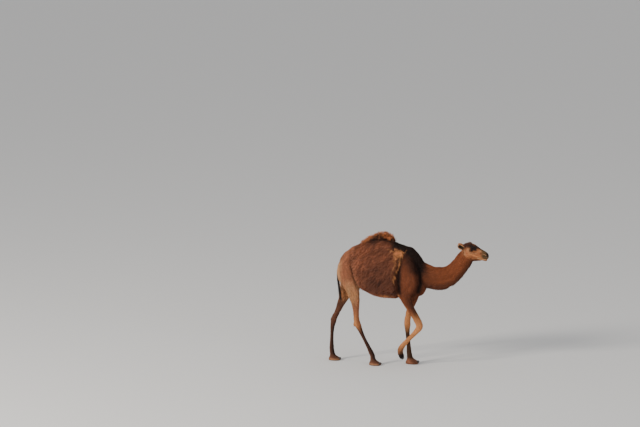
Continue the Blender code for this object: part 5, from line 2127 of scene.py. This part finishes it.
@dataclass
class Crest:
    """The mop of curls along the hump's ridge: a lumpy core and the locks that grow from it."""

    count: int = 1600
    skirt: int = 1150
    wide: float = 0.03

    def core(self) -> Surface:
        """A ridge 40 mm under CREST_TOP: superellipses swelled by sines along it.

        Returns:
            The closed surface.
        """
        path = smooth_path([(x, 0.0, z) for x, z in CREST_TOP], 8)
        t = np.linspace(0, 1, len(path))
        size = np.sin(math.pi * np.clip(t * 0.94 + 0.03, 0, 1)) ** 0.4
        lump = 1 + 0.14 * np.sin(t * 31) + 0.1 * np.sin(t * 53 + 1)
        drop = 0.052 + 0.016 * (1 - size)
        rise, wide = 0.016 * size * lump, self.wide * size * lump + 0.004
        rows = zip(path[:, 0], path[:, 2] - drop, rise, wide)
        stations = tuple((x, 0.0, z, r, 0.08, w, 2.2) for x, z, r, w in rows)
        return tube(stations, 28, 1)

    def roots(self, rng: Chance, pelt: Pelt) -> tuple[Roots, Array]:
        """Roots over the core and down the hump's sides, in curly clumps that sweep back at the rear.

        Args:
            rng: the source of chance.
            pelt: the skin, whose hump carries the crest's lower curls.

        Returns:
            The roots and a random number for each root's clump.
        """
        core = self.core()
        t = core.triangles()
        corners, normals = core.points[t], core.normals()[t]
        middle = corners.mean(1)
        ridge = np.interp(middle[:, 0], *zip(*CREST_TOP))
        weight = areas(corners) * ramp(middle[:, 2], ridge - 0.12, ridge - 0.09)
        p, n = spread(corners, normals, weight, self.count, rng)
        uv = on_map((p[:, 0] + 0.25) / 1.2, 0.5 + p[:, 1] / 0.08 * 0.4).clip(PATCH, 0.5 - PATCH)
        top = Roots(p, n, n, np.zeros((self.count, 3)), uv)
        x, over = pelt.middles[:, 0], above_crest_foot(pelt.middles)
        edge = over + 0.016 * noise(pelt.middles * 26, 21)
        weight = ramp(edge, -0.004, 0.01) * (x > -0.215) * (x < 0.315)
        low = pelt.roots(self.skirt, weight, ("trunk",), 0.1)
        low.uv[:, 0] = 0.5 + 0.5 * low.uv[:, 0]
        roots = top + low
        p, n = roots.p, roots.n
        back = ramp(p[:, 0], 0.1, -0.16)
        lie = np.stack([-0.2 - 1.1 * back, 0.9 * n[:, 1], 0.2 + 0.65 * n[:, 2] - 0.3 * back], axis=1)
        side = np.arange(len(p)) >= self.count
        lie[side, 2] -= 0.55
        roots.lie = unit(lie + rng.normal(0, 0.14, p.shape))
        kept = roots.lie
        roots, chance = clumped(roots, 0.034, 1.2, rng)
        roots.lie = unit(roots.lie + 0.8 * kept)
        # Locks near the crest's foot darkened, less at the rear: painted shadow under the crest.
        deep = ramp(above_crest_foot(p), 0.03, -0.005) * (0.3 + 0.7 * ramp(p[:, 0], -0.14, 0.0))
        roots.tone = Palette().crest * (0.45 + 0.85 * chance)[:, None]
        roots.tone = roots.tone + (srgb(54, 28, 20) - roots.tone) * deep[:, None] * 0.85
        return roots, chance

    def cut(self, roots: Roots, chance: Array, rng: Chance) -> Cut:
        """Locks 25 to 55 mm long, whose clumps curl together.

        Args:
            roots: where the locks grow.
            chance: a number from 0 to 1 that a clump shares.
            rng: the source of chance.

        Returns:
            The cut of the locks.
        """
        n = len(roots.p)
        sizes = ((0.03 + 0.022 * chance, 0.12), (0.0027, 0.25), (0.009, 0.4), (0.0105, 0.15))
        made = [varied(rng, value, share, n) for value, share in sizes]
        turns = 1.0 + 0.5 * ((chance * 7.3) % 1)
        return Cut(*made, turns, varied(rng, 0.007, 0.5, n), chance * 40 + rng.normal(0, 0.22, n))


def fringe_roots(pelt: Pelt, count: int) -> Roots:
    """Roots of the golden curls: a thick cluster over the shoulder, and strands down the edge.

    Args:
        pelt: the skin that the hair grows on.
        count: how many roots.

    Returns:
        The roots.
    """
    x, y, z = pelt.middles.T
    flat = pelt.middles[:, [0, 2]]
    side = ramp(np.abs(y), 0.08, 0.14)
    cluster = hill(x, z, (0.412, 1.776), (0.074, 0.064)) * in_wool(pelt.middles - (0.012, 0, 0))
    edge = gap_to(flat, FRINGE_LINE[1:5])
    other = gap_to(flat, ((0.385, 1.68), (0.35, 1.6), (0.325, 1.53), (0.318, 1.4)))
    strand = np.maximum(bell(edge / 0.0055), 0.35 * bell(other / 0.006))
    strand = strand * ramp(z, 1.27, 1.42) * ramp(z, 1.74, 1.66) * 0.8
    weight = side * np.maximum(cluster * ramp(noise(pelt.middles * 26, 2), -0.45, 0.05), strand)
    roots = pelt.roots(count, weight, ("trunk", "neck", *LEGS[:2]), 0.35)
    low = ramp(roots.p[:, 2], 1.7, 1.6)[:, None]
    lie = roots.lie * (1 - low) + low * np.array((-0.25, 0, -1.0))
    roots.lie = laid(lie + pelt.rng.normal(0, 0.3, roots.lie.shape), roots.n)
    shade = (1 + 0.85 * noise(roots.p * 34, 5)) * (1 - 0.3 * ramp(roots.p[:, 2], 1.52, 1.36))
    roots.tone = Palette().fringe * shade[:, None].clip(0.24, 1.45)
    return roots


def fringe_cut(roots: Roots, rng: Chance) -> Cut:
    """Golden curls 30 to 50 mm long, open in the cluster and drawn out down the strand.

    Args:
        roots: where the locks grow.
        rng: the source of chance.

    Returns:
        The cut of the locks.
    """
    n = len(roots.p)
    thick = ramp(roots.p[:, 2], 1.58, 1.68)
    sizes = ((0.044, 0.2), (0.0014 + 0.0004 * thick, 0.25))
    sizes += ((0.007 + 0.009 * thick, 0.3), (0.0022 + 0.0062 * thick, 0.2))
    cut = Cut.drawn(rng, n, sizes, (0.6 + 0.5 * thick, 0.2), 0.0)
    cut.droop = varied(rng, 0.008, 0.4, n)
    return cut


def tail_roots(count: int, rng: Chance) -> Roots:
    """Roots down the tail: brown above, and black from where it hangs free.

    Args:
        count: how many roots.
        rng: the source of chance.

    Returns:
        The roots.
    """
    line = Line.of(TAIL, 8)
    at = ((rng.random(count) ** 0.8) * (len(line.centres) - 4)).astype(int) + 1
    angle = rng.uniform(0, TAU, count)
    n = line.across[at] * np.sin(angle)[:, None]
    n[:, 1] += np.cos(angle)
    p = line.centres[at] + n * line.sizes[at, :1] * 0.9
    lie = unit(line.along[at] + rng.normal(0, 0.05, p.shape))
    # Black hair where the tail hangs free: partly dark hair, partly painted shade.
    free = ramp(p[:, 2], 1.44, 1.36)[:, None]
    tone = Palette().rump * (1 - free) + srgb(38, 25, 20) * free
    return Roots(p, unit(n), lie, tone, on_map(angle / TAU, at / len(line.centres)))


def tail_cut(roots: Roots, rng: Chance) -> Cut:
    """Short flat hair at the tail's root, lengthening to a tassel.

    Args:
        roots: where the locks grow.
        rng: the source of chance.

    Returns:
        The cut of the locks.
    """
    free = ramp(roots.p[:, 2], 1.42, 1.25)
    sizes = ((0.026 + 0.064 * free, 0.25), (0.0018, 0.2))
    sizes += ((0.0025 + 0.0045 * free, 0.4), (0.0004 + 0.0018 * free, 0.4))
    return Cut.drawn(rng, len(free), sizes, (0.7, 0.5), 0.0)


def lash_roots(side: int, count: int, rng: Chance) -> Roots:
    """Roots along one upper lid's edge, whose lashes sweep out and down.

    Args:
        side: 1 on the left, -1 on the right.
        count: how many roots.
        rng: the source of chance.

    Returns:
        The roots.
    """
    centre, axes = eye_frame(side)
    t = (np.arange(count) + rng.random(count) * 0.7) / count
    phi = math.pi * (0.1 + 0.8 * t)
    lids = Lids(side)
    a, b = lids.reach[0] * np.cos(phi), lids.reach[1] * np.sin(phi) ** 1.35
    turn = np.hypot(a, b)
    ray = rays(axes, a / turn * np.sin(turn), b / turn * np.sin(turn), np.cos(turn))
    p = centre + ray * (EYE_RADIUS + 0.0018)
    lie = ray * 0.8 + axes[2] * 0.5 + axes[0] * (0.25 * np.cos(phi))[:, None] + axes[1] * 0.1
    lie = unit(lie + rng.normal(0, 0.07, p.shape))
    m = np.array(head_matrix())[:3, :3]
    p, lie, n = from_head(p), lie @ m.T, np.tile(-axes[1] @ m.T, (count, 1))
    tone = np.tile(srgb(26, 18, 15), (count, 1))
    return Roots(p, laid(n, lie), lie, tone, on_map(t, 0 * t + 0.5))


# ---- eyes and nails


@dataclass
class Eyeball:
    """An eyeball with the cornea's bulge, and a wide level pupil in a dark brown iris."""

    side: int
    iris: float = 0.8  # half angle
    pupil: tuple = (0.4, 0.2)

    def surface(self, around: int = 64, rings: int = 40) -> tuple[Surface, Array]:
        """Rings about the eye's axis at EYE_RADIUS * (0.985 + 0.035 * exp(-(angle / 0.6)^2)).

        Args:
            around: points round each ring.
            rings: how many rings.

        Returns:
            The ball in body coordinates and a tone for each point.
        """
        centre, axes = eye_frame(self.side)
        theta = np.linspace(0.02, math.pi - 0.02, rings)[:, None]
        phi = turned_round(around)
        radius = EYE_RADIUS * (0.985 + 0.035 * bell(theta / 0.6))
        drop = np.sin(theta)
        ray = rays(axes, drop * np.cos(phi), drop * np.sin(phi), np.cos(theta) + 0 * phi)
        ball = outward(lofted(centre + ray * radius[..., None]))
        th = np.append((theta + 0 * phi).ravel(), (0, math.pi))
        ph = np.append((0 * theta + phi).ravel(), (0, 0))
        u, v = th * np.cos(ph) / self.pupil[0], th * np.sin(ph) / self.pupil[1]
        hole = ramp((u**4 + v**4) ** 0.25, 1.1, 0.92)
        spokes = 0.85 + 0.15 * np.sin(ph * 23 + 3 * np.sin(ph * 5))
        brown = srgb(50, 27, 15) * spokes[:, None] * (1.15 - 0.5 * ramp(th, 0.55, self.iris))[:, None]
        white = srgb(52, 36, 28)
        edge = ramp(th, self.iris - 0.05, self.iris + 0.05)[:, None]
        tone = brown * (1 - edge) + white * edge
        return ball.moved(head_matrix()), tone * (1 - hole[:, None]) + srgb(6, 5, 6) * hole[:, None]


def nail_surface(tilt: float) -> Surface:
    """A nail about its middle: a ball squared at the root, thinned and turned down to a worn edge.

    Args:
        tilt: how far it turns down, in radians.

    Returns:
        The surface.
    """
    u = turned_round(28)
    v = np.linspace(0.05, math.pi - 0.05, 22)[:, None]
    away = np.cos(v) + 0 * u
    c, s = np.cos(u), np.sin(u)
    wide = np.sin(v) ** 0.7
    y = np.sign(c) * np.abs(c) ** 0.85 * wide * (1 - 0.18 * away)
    z = np.where(s > 0, s, s * 0.55) * wide * (1 - 0.28 * away)
    z = z - 0.22 * away**2 + 0.04 * np.sin(7 * away)
    points = np.stack([0.98 * away * NAIL[0], y * NAIL[1] * 0.97, z * NAIL[2] * 0.97], axis=-1)
    return outward(lofted(points)).moved(Matrix.Rotation(math.radians(tilt), 4, "Y"))


def nails() -> dict[str, Surface]:
    """The eight toenails, two to a foot, by the names of the CAD nodes that they replace.

    Returns:
        The surfaces by name.
    """
    made = {}
    for pose in FEET:
        for side, name in SIDES:
            place = foot_matrix(pose) @ Matrix.Translation((0.134, side * 0.034, 0.032))
            made[f"nail_{pose[0]}_{name}"] = nail_surface(25).moved(place)
    for y, name in ((-0.094, "left"), (-0.16, "right")):
        made[f"nail_front_right_{name}"] = nail_surface(80).moved(Matrix.Translation((0.454, y, 0.126)))
    return made


# ---- finishes


class Tree:
    """A node tree under construction."""

    def __init__(self, tree: bpy.types.NodeTree) -> None:
        """Keeps the tree."""
        self.tree = tree

    def add(self, kind: str, **settings: object) -> bpy.types.Node:
        """A node with its settings.

        Args:
            kind: the node's type.
            settings: its properties by name.

        Returns:
            The node.
        """
        node = self.tree.nodes.new(kind)
        for key, value in settings.items():
            setattr(node, key, value)
        return node

    def join(self, out: bpy.types.NodeSocket, into: bpy.types.NodeSocket) -> None:
        """Links an output to an input."""
        self.tree.links.new(out, into)

    def attribute(self, name: str, output: str) -> bpy.types.NodeSocket:
        """An output of the mesh's attribute of this name."""
        return self.add("ShaderNodeAttribute", attribute_name=name).outputs[output]

    def math(self, operation: str, a: object, b: object) -> bpy.types.NodeSocket:
        """A sum of two values, each a socket or a number.

        Args:
            operation: the node's operation.
            a: the first value.
            b: the second value.

        Returns:
            The result.
        """
        node = self.add("ShaderNodeMath", operation=operation)
        for socket, value in zip(node.inputs, (a, b)):
            if isinstance(value, bpy.types.NodeSocket):
                self.join(value, socket)
            else:
                socket.default_value = value
        return node.outputs[0]


def put(node: bpy.types.Node, **values: object) -> None:
    """Sets inputs of a node, whose names have _ for a space."""
    for name, value in values.items():
        node.inputs[name.replace("_", " ")].default_value = value


def new_group(name: str, inputs: tuple, outputs: tuple) -> tuple[Tree, bpy.types.Node, bpy.types.Node]:
    """An empty shader node group with its named sockets.

    Args:
        name: the group's name.
        inputs: name, kind and default of each input.
        outputs: name and kind of each output.

    Returns:
        The tree, and its input and output nodes.
    """
    group = bpy.data.node_groups.new(name, "ShaderNodeTree")
    for label, kind, value in inputs:
        socket = group.interface.new_socket(label, in_out="INPUT", socket_type=kind)
        if value is not None:
            socket.default_value = value
    for label, kind in outputs:
        group.interface.new_socket(label, in_out="OUTPUT", socket_type=kind)
    tree = Tree(group)
    return tree, tree.add("NodeGroupInput"), tree.add("NodeGroupOutput")


def mottled_group() -> bpy.types.NodeTree:
    """Colour * (1 + 2.4 * amount * (noise - 0.5) + 3 * streak amount * (streak - 0.5)).

    Returns:
        The group.
    """
    tree, given, made = new_group(
        "mottled_tone",
        (
            ("Color", "NodeSocketColor", (0.5, 0.5, 0.5, 1)),
            ("Place", "NodeSocketVector", None),
            ("Scale", "NodeSocketFloat", 8.0),
            ("Amount", "NodeSocketFloat", 0.3),
            ("Streak", "NodeSocketFloat", 0.5),
            ("Streak Amount", "NodeSocketFloat", 0.0),
        ),
        (("Color", "NodeSocketColor"),),
    )
    noise = tree.add("ShaderNodeTexNoise")
    put(noise, Detail=5.0, Roughness=0.65)
    tree.join(given.outputs["Place"], noise.inputs["Vector"])
    tree.join(given.outputs["Scale"], noise.inputs["Scale"])
    away = tree.math("MULTIPLY", tree.math("SUBTRACT", noise.outputs["Fac"], 0.5), 2.4)
    streak = tree.math("MULTIPLY", tree.math("SUBTRACT", given.outputs["Streak"], 0.5), 3.0)
    streak = tree.math("MULTIPLY", streak, given.outputs["Streak Amount"])
    mottle = tree.math("MULTIPLY", away, given.outputs["Amount"])
    scale = tree.math("ADD", mottle, tree.math("ADD", streak, 1.0))
    mixed = tree.add("ShaderNodeVectorMath", operation="SCALE")
    tree.join(given.outputs["Color"], mixed.inputs[0])
    tree.join(scale, mixed.inputs["Scale"])
    tree.join(mixed.outputs[0], made.inputs["Color"])
    return tree.tree


def hair_group() -> bpy.types.NodeTree:
    """Height of short hair: two noises stretched along the lie, summed, and level where Seam is 1.

    Returns:
        The group.
    """
    tree, given, made = new_group(
        "hair_height",
        (
            ("Lie", "NodeSocketVector", None),
            ("Scale", "NodeSocketFloat", 300.0),
            ("Seam", "NodeSocketFloat", 0.0),
        ),
        (("Height", "NodeSocketFloat"),),
    )
    total: object = 0.0
    for share, factor in ((0.7, 1.0), (0.3, 2.3)):
        noise = tree.add("ShaderNodeTexNoise")
        put(noise, Detail=3.0)
        tree.join(given.outputs["Lie"], noise.inputs["Vector"])
        tree.join(tree.math("MULTIPLY", given.outputs["Scale"], factor), noise.inputs["Scale"])
        total = tree.math("ADD", tree.math("MULTIPLY", noise.outputs["Fac"], share), total)
    calm = tree.math("SUBTRACT", 1.0, given.outputs["Seam"])
    level = tree.math("MULTIPLY", tree.math("SUBTRACT", total, 0.5), calm)
    tree.join(tree.math("ADD", level, 0.5), made.inputs["Height"])
    return tree.tree


class Weave(Enum):
    """The attribute that the surface's relief follows."""

    SKIN = "Lie"
    LOCK = "Strand"
    NONE = ""


@dataclass(frozen=True)
class Finish:
    """One material, read from the mesh's Tone and its relief."""

    name: str
    weave: Weave
    roughness: float = 0.75
    specular: float = 0.25
    mottle: float = 0.25
    mottle_scale: float = 9.0
    streak: float = 0.0
    relief: float = 0.5
    reach: float = 0.004
    relief_scale: float = 300.0
    sheen: float = 0.0
    coat: float = 0.0
    seamed: bool = False  # whether the relief is level where Seam is 1

    def material(self, groups: dict[str, bpy.types.NodeTree]) -> bpy.types.Material:
        """Builds the material.

        Args:
            groups: the shared node groups by name.

        Returns:
            The material.
        """
        made = bpy.data.materials.new(self.name)
        made.use_nodes = True
        tree = Tree(made.node_tree)
        shader = made.node_tree.nodes["Principled BSDF"]
        put(shader, Roughness=self.roughness, Specular_IOR_Level=self.specular)
        put(shader, Sheen_Weight=self.sheen, Sheen_Roughness=0.5)
        put(shader, Coat_Weight=self.coat, Coat_Roughness=0.02)
        place = tree.add("ShaderNodeTexCoord")
        colour = tree.add("ShaderNodeGroup", node_tree=groups["mottled"])
        put(colour, Scale=self.mottle_scale, Amount=self.mottle, Streak_Amount=self.streak)
        tree.join(tree.attribute("Tone", "Color"), colour.inputs["Color"])
        tree.join(place.outputs["Object"], colour.inputs["Place"])
        tree.join(colour.outputs["Color"], shader.inputs["Base Color"])
        if self.weave is Weave.NONE:
            return made
        hair = tree.add("ShaderNodeGroup", node_tree=groups["hair"])
        bump = tree.add("ShaderNodeBump")
        put(hair, Scale=self.relief_scale)
        put(bump, Strength=self.relief, Distance=self.reach)
        if self.seamed:
            tree.join(tree.attribute("Seam", "Fac"), hair.inputs["Seam"])
        tree.join(tree.attribute(self.weave.value, "Vector"), hair.inputs["Lie"])
        tree.join(hair.outputs["Height"], bump.inputs["Height"])
        tree.join(hair.outputs["Height"], colour.inputs["Streak"])
        tree.join(bump.outputs["Normal"], shader.inputs["Normal"])
        return made


FINISHES = (
    Finish("skin_hair", Weave.SKIN, 0.85, 0.18, 0.2, 9.0, 0.55, 1.0, 0.004, 1.0, seamed=True),
    Finish("sleek_coat", Weave.LOCK, 0.72, 0.16, 0.2, 11.0, 0.15, 0.35, 0.0006, 3.0, sheen=0.03),
    Finish("woolly_coat", Weave.LOCK, 0.88, 0.12, 0.3, 13.0, 0.25, 0.45, 0.001, 4.0, sheen=0.08),
    Finish("crest_wool", Weave.LOCK, 0.85, 0.18, 0.25, 24.0, 0.25, 0.45, 0.001, 4.0, sheen=0.08),
    Finish("tail_hair", Weave.LOCK, 0.5, 0.35, 0.2, 20.0, 0.2, 0.3, 0.0006, 4.0),
    Finish("eye", Weave.NONE, 0.35, 0.1, 0.05, 200.0, coat=0.38),
    Finish("nail_horn", Weave.SKIN, 0.38, 0.5, 0.25, 60.0, 0.2, 0.3, 0.0008, 1.0),
)


# ---- the whole animal

# CAD nodes that the skin replaces.
LEG_NODES = ("forearm", "cannon_front", "foot_front", "gaskin", "cannon_hind", "foot_hind")
FLESH = ("head", "neck", "trunk", "hump", "tail", "ear_left", "ear_right")
FLESH += tuple(f"{node}_{name}" for node in LEG_NODES for _, name in SIDES)


class Dromedary:
    """Builds every piece of the animal and hands it to the frame."""

    def __init__(self) -> None:
        """Makes the finishes and the seeded source of chance."""
        groups = {"mottled": mottled_group(), "hair": hair_group()}
        self.finishes = {f.name: f.material(groups) for f in FINISHES}
        self.rng = np.random.default_rng(SEED)
        self.anatomy = Anatomy()
        self.markings_and_shade = MarkingsAndShade(self.anatomy)

    def place(self, name: str, mesh: bpy.types.Mesh, finish: str, slot: str, nodes: tuple = ()) -> None:
        """Shows a mesh, lets it ride on the body and reports it.

        Args:
            name: the piece's name.
            mesh: its mesh in the row frame.
            finish: the material's name.
            slot: not used.
            nodes: the CAD nodes that it replaces.
        """
        made = new_object(name, mesh, self.finishes[finish])
        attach(made, "root")
        for node in nodes:
            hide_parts(node)
        mesh.calc_loop_triangles()
        LOG.info("%s: %d triangles", name, len(mesh.loop_triangles))

    def skin(self) -> Pelt:
        """The skin with its lids, ears and tail, and the pelt that the coat grows on.

        Returns:
            The pelt.
        """
        body = Skin(anatomy=self.anatomy).built()
        ears = [Ear(side) for side, _ in SIDES]
        leaves = [ear.surface() for ear in ears]
        lids = [Lids(side).surface() for side, _ in SIDES]
        tail = tube(TAIL, 16)
        tones = []
        for surface in (body, *lids, tail):
            places = self.anatomy.read(surface.points)
            tones.append(self.markings_and_shade.at(surface.points, places))
        for k, (ear, leaf) in enumerate(zip(ears, leaves)):
            local, hollow = ear.local(leaf.points, leaf.normals())
            tones.insert(3 + k, self.markings_and_shade.ear(local, hollow, ear))
        whole = joined([body, *lids, *leaves, tail])
        tone = np.concatenate(tones)
        places = self.anatomy.read(whole.points)
        # The skin darkened under the coat, more under the wool and along seams between parts: painted
        # shade between the hairs.
        under = 0.8 - 0.28 * in_wool(whole.points) * (places.near[0] > 0.4)
        corners = whole.triangles()
        seam = np.zeros(len(whole.points))
        seam[corners[np.ptp(places.part[corners], axis=1) > 0].ravel()] = 1
        mesh = new_mesh("skin", whole, tone * (under * (1 - 0.24 * seam))[:, None])
        add_values(mesh, "Lie", 1000 * places.local[:, :3] * np.array((0.1, 0.45, 0.45)))
        add_values(mesh, "Seam", seam)
        self.place("skin", mesh, "skin_hair", "sleek_coat", FLESH)
        ears = list(zip(ears, leaves))
        return Pelt(joined([body, *lids]), ears, self.anatomy, self.markings_and_shade, self.rng)

    def coat(self, pelt: Pelt) -> None:
        """Every region's locks.

        Args:
            pelt: the skin that the hair grows on.
        """
        near = self.anatomy.near(pelt.places)
        for region in REGIONS:
            weight = region.cover(pelt.middles, near) * 1.0
            roots = pelt.roots(region.count, weight, region.parts, region.jitter)
            roots, chance = clumped(roots, region.clump, region.pull, self.rng)
            cut = region.cut(roots, self.rng)
            cut.phase = chance * 40 + self.rng.normal(0, 0.7, len(chance))
            mesh = coat_mesh(region.name, roots, cut, region.rings, self.rng, region.tip_tone)
            self.place(region.name, mesh, region.slot, region.slot)
        ears = pelt.ear_roots(EAR_LOCKS)
        sizes = tuple((value, 0.25) for value in (0.0105, 0.0012, 0.0016, 0.0005))
        cut = Cut.drawn(self.rng, len(ears.p), sizes, (0.5, 0.4), 0.0)
        mesh = coat_mesh("coat_ears", ears, cut, 2, self.rng, 1.2)
        self.place("coat_ears", mesh, "sleek_coat", "sleek_coat")

    def long_hair(self, pelt: Pelt) -> None:
        """The crest, the fringe of the wool, the tail's hair and the lashes.

        Args:
            pelt: the skin that the hair grows on.
        """
        crest = Crest()
        core = crest.core()
        # Dark core under the curls: painted shade between the curls.
        mesh = new_mesh("crest_core", core, np.tile(srgb(50, 27, 19), (len(core.points), 1)))
        add_values(mesh, "Strand", core.points * 60)
        self.place("crest_core", mesh, "crest_wool", "crest_wool", ("hump_crest",))
        roots, chance = crest.roots(self.rng, pelt)
        mesh = coat_mesh("crest", roots, crest.cut(roots, chance, self.rng), 6, self.rng, 1.35)
        self.place("crest", mesh, "crest_wool", "crest_wool")
        roots, chance = clumped(fringe_roots(pelt, FRINGE_LOCKS), 0.026, 1.2, self.rng)
        cut = fringe_cut(roots, self.rng)
        cut.phase = chance * 40 + self.rng.normal(0, 0.25, len(chance))
        mesh = coat_mesh("fringe", roots, cut, 6, self.rng, 1.25)
        self.place("fringe", mesh, "crest_wool", "woolly_coat")
        roots = tail_roots(TAIL_LOCKS, self.rng)
        mesh = coat_mesh("tail_hair", roots, tail_cut(roots, self.rng), 5, self.rng, 1.3)
        self.place("tail_hair", mesh, "tail_hair", "tail_hair")
        for side, name in SIDES:
            roots = lash_roots(side, LASHES, self.rng)
            length, lift = (varied(self.rng, *value, LASHES) for value in ((0.017, 0.2), (0.0035, 0.3)))
            width, curl, turns, droop = (np.full(LASHES, v) for v in (0.00055, 0.0003, 0.4, 0.0))
            cut = Cut(length, width, lift, curl, turns, droop)
            mesh = coat_mesh("lashes", roots, cut, 5, self.rng, 1.0)
            self.place(f"lashes_{name}", mesh, "tail_hair", "tail_hair")

    def eyes(self) -> None:
        """Both eyeballs."""
        for side, name in SIDES:
            ball, tone = Eyeball(side).surface()
            mesh = new_mesh("eyeball", ball, tone)
            self.place(f"eyeball_{name}", mesh, "eye", "eye", (f"eye_{name}",))

    def toes(self) -> None:
        """All toenails, those of the lifted foot darker."""
        for node, nail in nails().items():
            # The lifted foot's nails darker: painted shade.
            colour = srgb(46, 36, 30) if "front_right" not in node else srgb(34, 27, 24)
            mesh = new_mesh(node, nail, np.tile(colour, (len(nail.points), 1)))
            add_values(mesh, "Lie", nail.points * 300)
            self.place(node.replace("nail", "horn"), mesh, "nail_horn", "nail_horn", (node,))


LIT_POINT = (0.0, 0.0, 1.1)  # the animal's middle, which the lights look at


@dataclass
class Studio:
    """A pale floor under soft light, and the camera."""

    floor_size: float = 400.0
    aim: tuple = (-1.3564, 0.0, 2.2737)
    azimuth: float = 15.0
    elevation: float = 8.0
    distance: float = 54.04
    lens: float = 200.0

    def build(self) -> None:
        """Sets floor, world, lights and camera."""
        self.floor()
        world = bpy.data.worlds.new("soft_sky")
        bpy.context.scene.world = world
        world.use_nodes = True
        put(world.node_tree.nodes["Background"], Color=(0.77, 0.775, 0.79, 1), Strength=0.75)
        self.light("key", (-16, -20, 12), 7000.0, 6.0, (1.0, 0.95, 0.88))
        self.light("fill", (20, -14, 8), 700.0, 9.0, (0.92, 0.96, 1.0))
        self.camera()

    def floor(self) -> None:
        """A level square sheet, far wider than the view."""
        h = self.floor_size / 2
        corners = np.array(((-h, -h, 0), (h, -h, 0), (h, h, 0), (-h, h, 0)), float) - ROW_SHIFT
        mesh = new_mesh("floor", Surface(corners, np.array([[0, 1, 2, 3]])))
        plain = bpy.data.materials.new("studio_floor")
        plain.use_nodes = True
        shader = plain.node_tree.nodes["Principled BSDF"]
        put(shader, Base_Color=(0.8, 0.79, 0.77, 1), Roughness=0.95)
        new_object("floor", mesh, plain)

    def light(self, name: str, place: tuple, power: float, size: float, colour: tuple) -> None:
        """A square area light that looks at the animal's middle.

        Args:
            name: the light's name.
            place: where it stands, in metres.
            power: in watts.
            size: of its edge, in metres.
            colour: its linear colour.
        """
        data = bpy.data.lights.new(name, "AREA")
        data.energy, data.size, data.color = power, size, colour
        made = linked(name, data)
        made.location = place
        made.rotation_mode = "QUATERNION"
        made.rotation_quaternion = (Vector(LIT_POINT) - Vector(place)).to_track_quat("-Z", "Y")

    def camera(self) -> None:
        """The camera, a long lens far off, ahead of the animal's right side."""
        a, e = math.radians(self.azimuth), math.radians(self.elevation)
        back = Vector((math.sin(a) * math.cos(e), -math.cos(a) * math.cos(e), math.sin(e)))
        data = bpy.data.cameras.new("camera")
        data.lens, data.sensor_width, data.clip_start, data.clip_end = self.lens, 36.0, 0.5, 600.0
        made = linked("camera", data)
        made.location = Vector(self.aim) + back * self.distance
        made.rotation_mode = "QUATERNION"
        made.rotation_quaternion = (-back).to_track_quat("-Z", "Y")
        bpy.context.scene.camera = made


def main() -> None:
    """Builds the animal and the studio."""
    logging.basicConfig(level=logging.INFO, format="%(name)s %(message)s")
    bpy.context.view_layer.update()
    animal = Dromedary()
    pelt = animal.skin()
    animal.coat(pelt)
    animal.long_hair(pelt)
    animal.eyes()
    animal.toes()
    Studio().build()


if __name__ == "__main__":
    main()
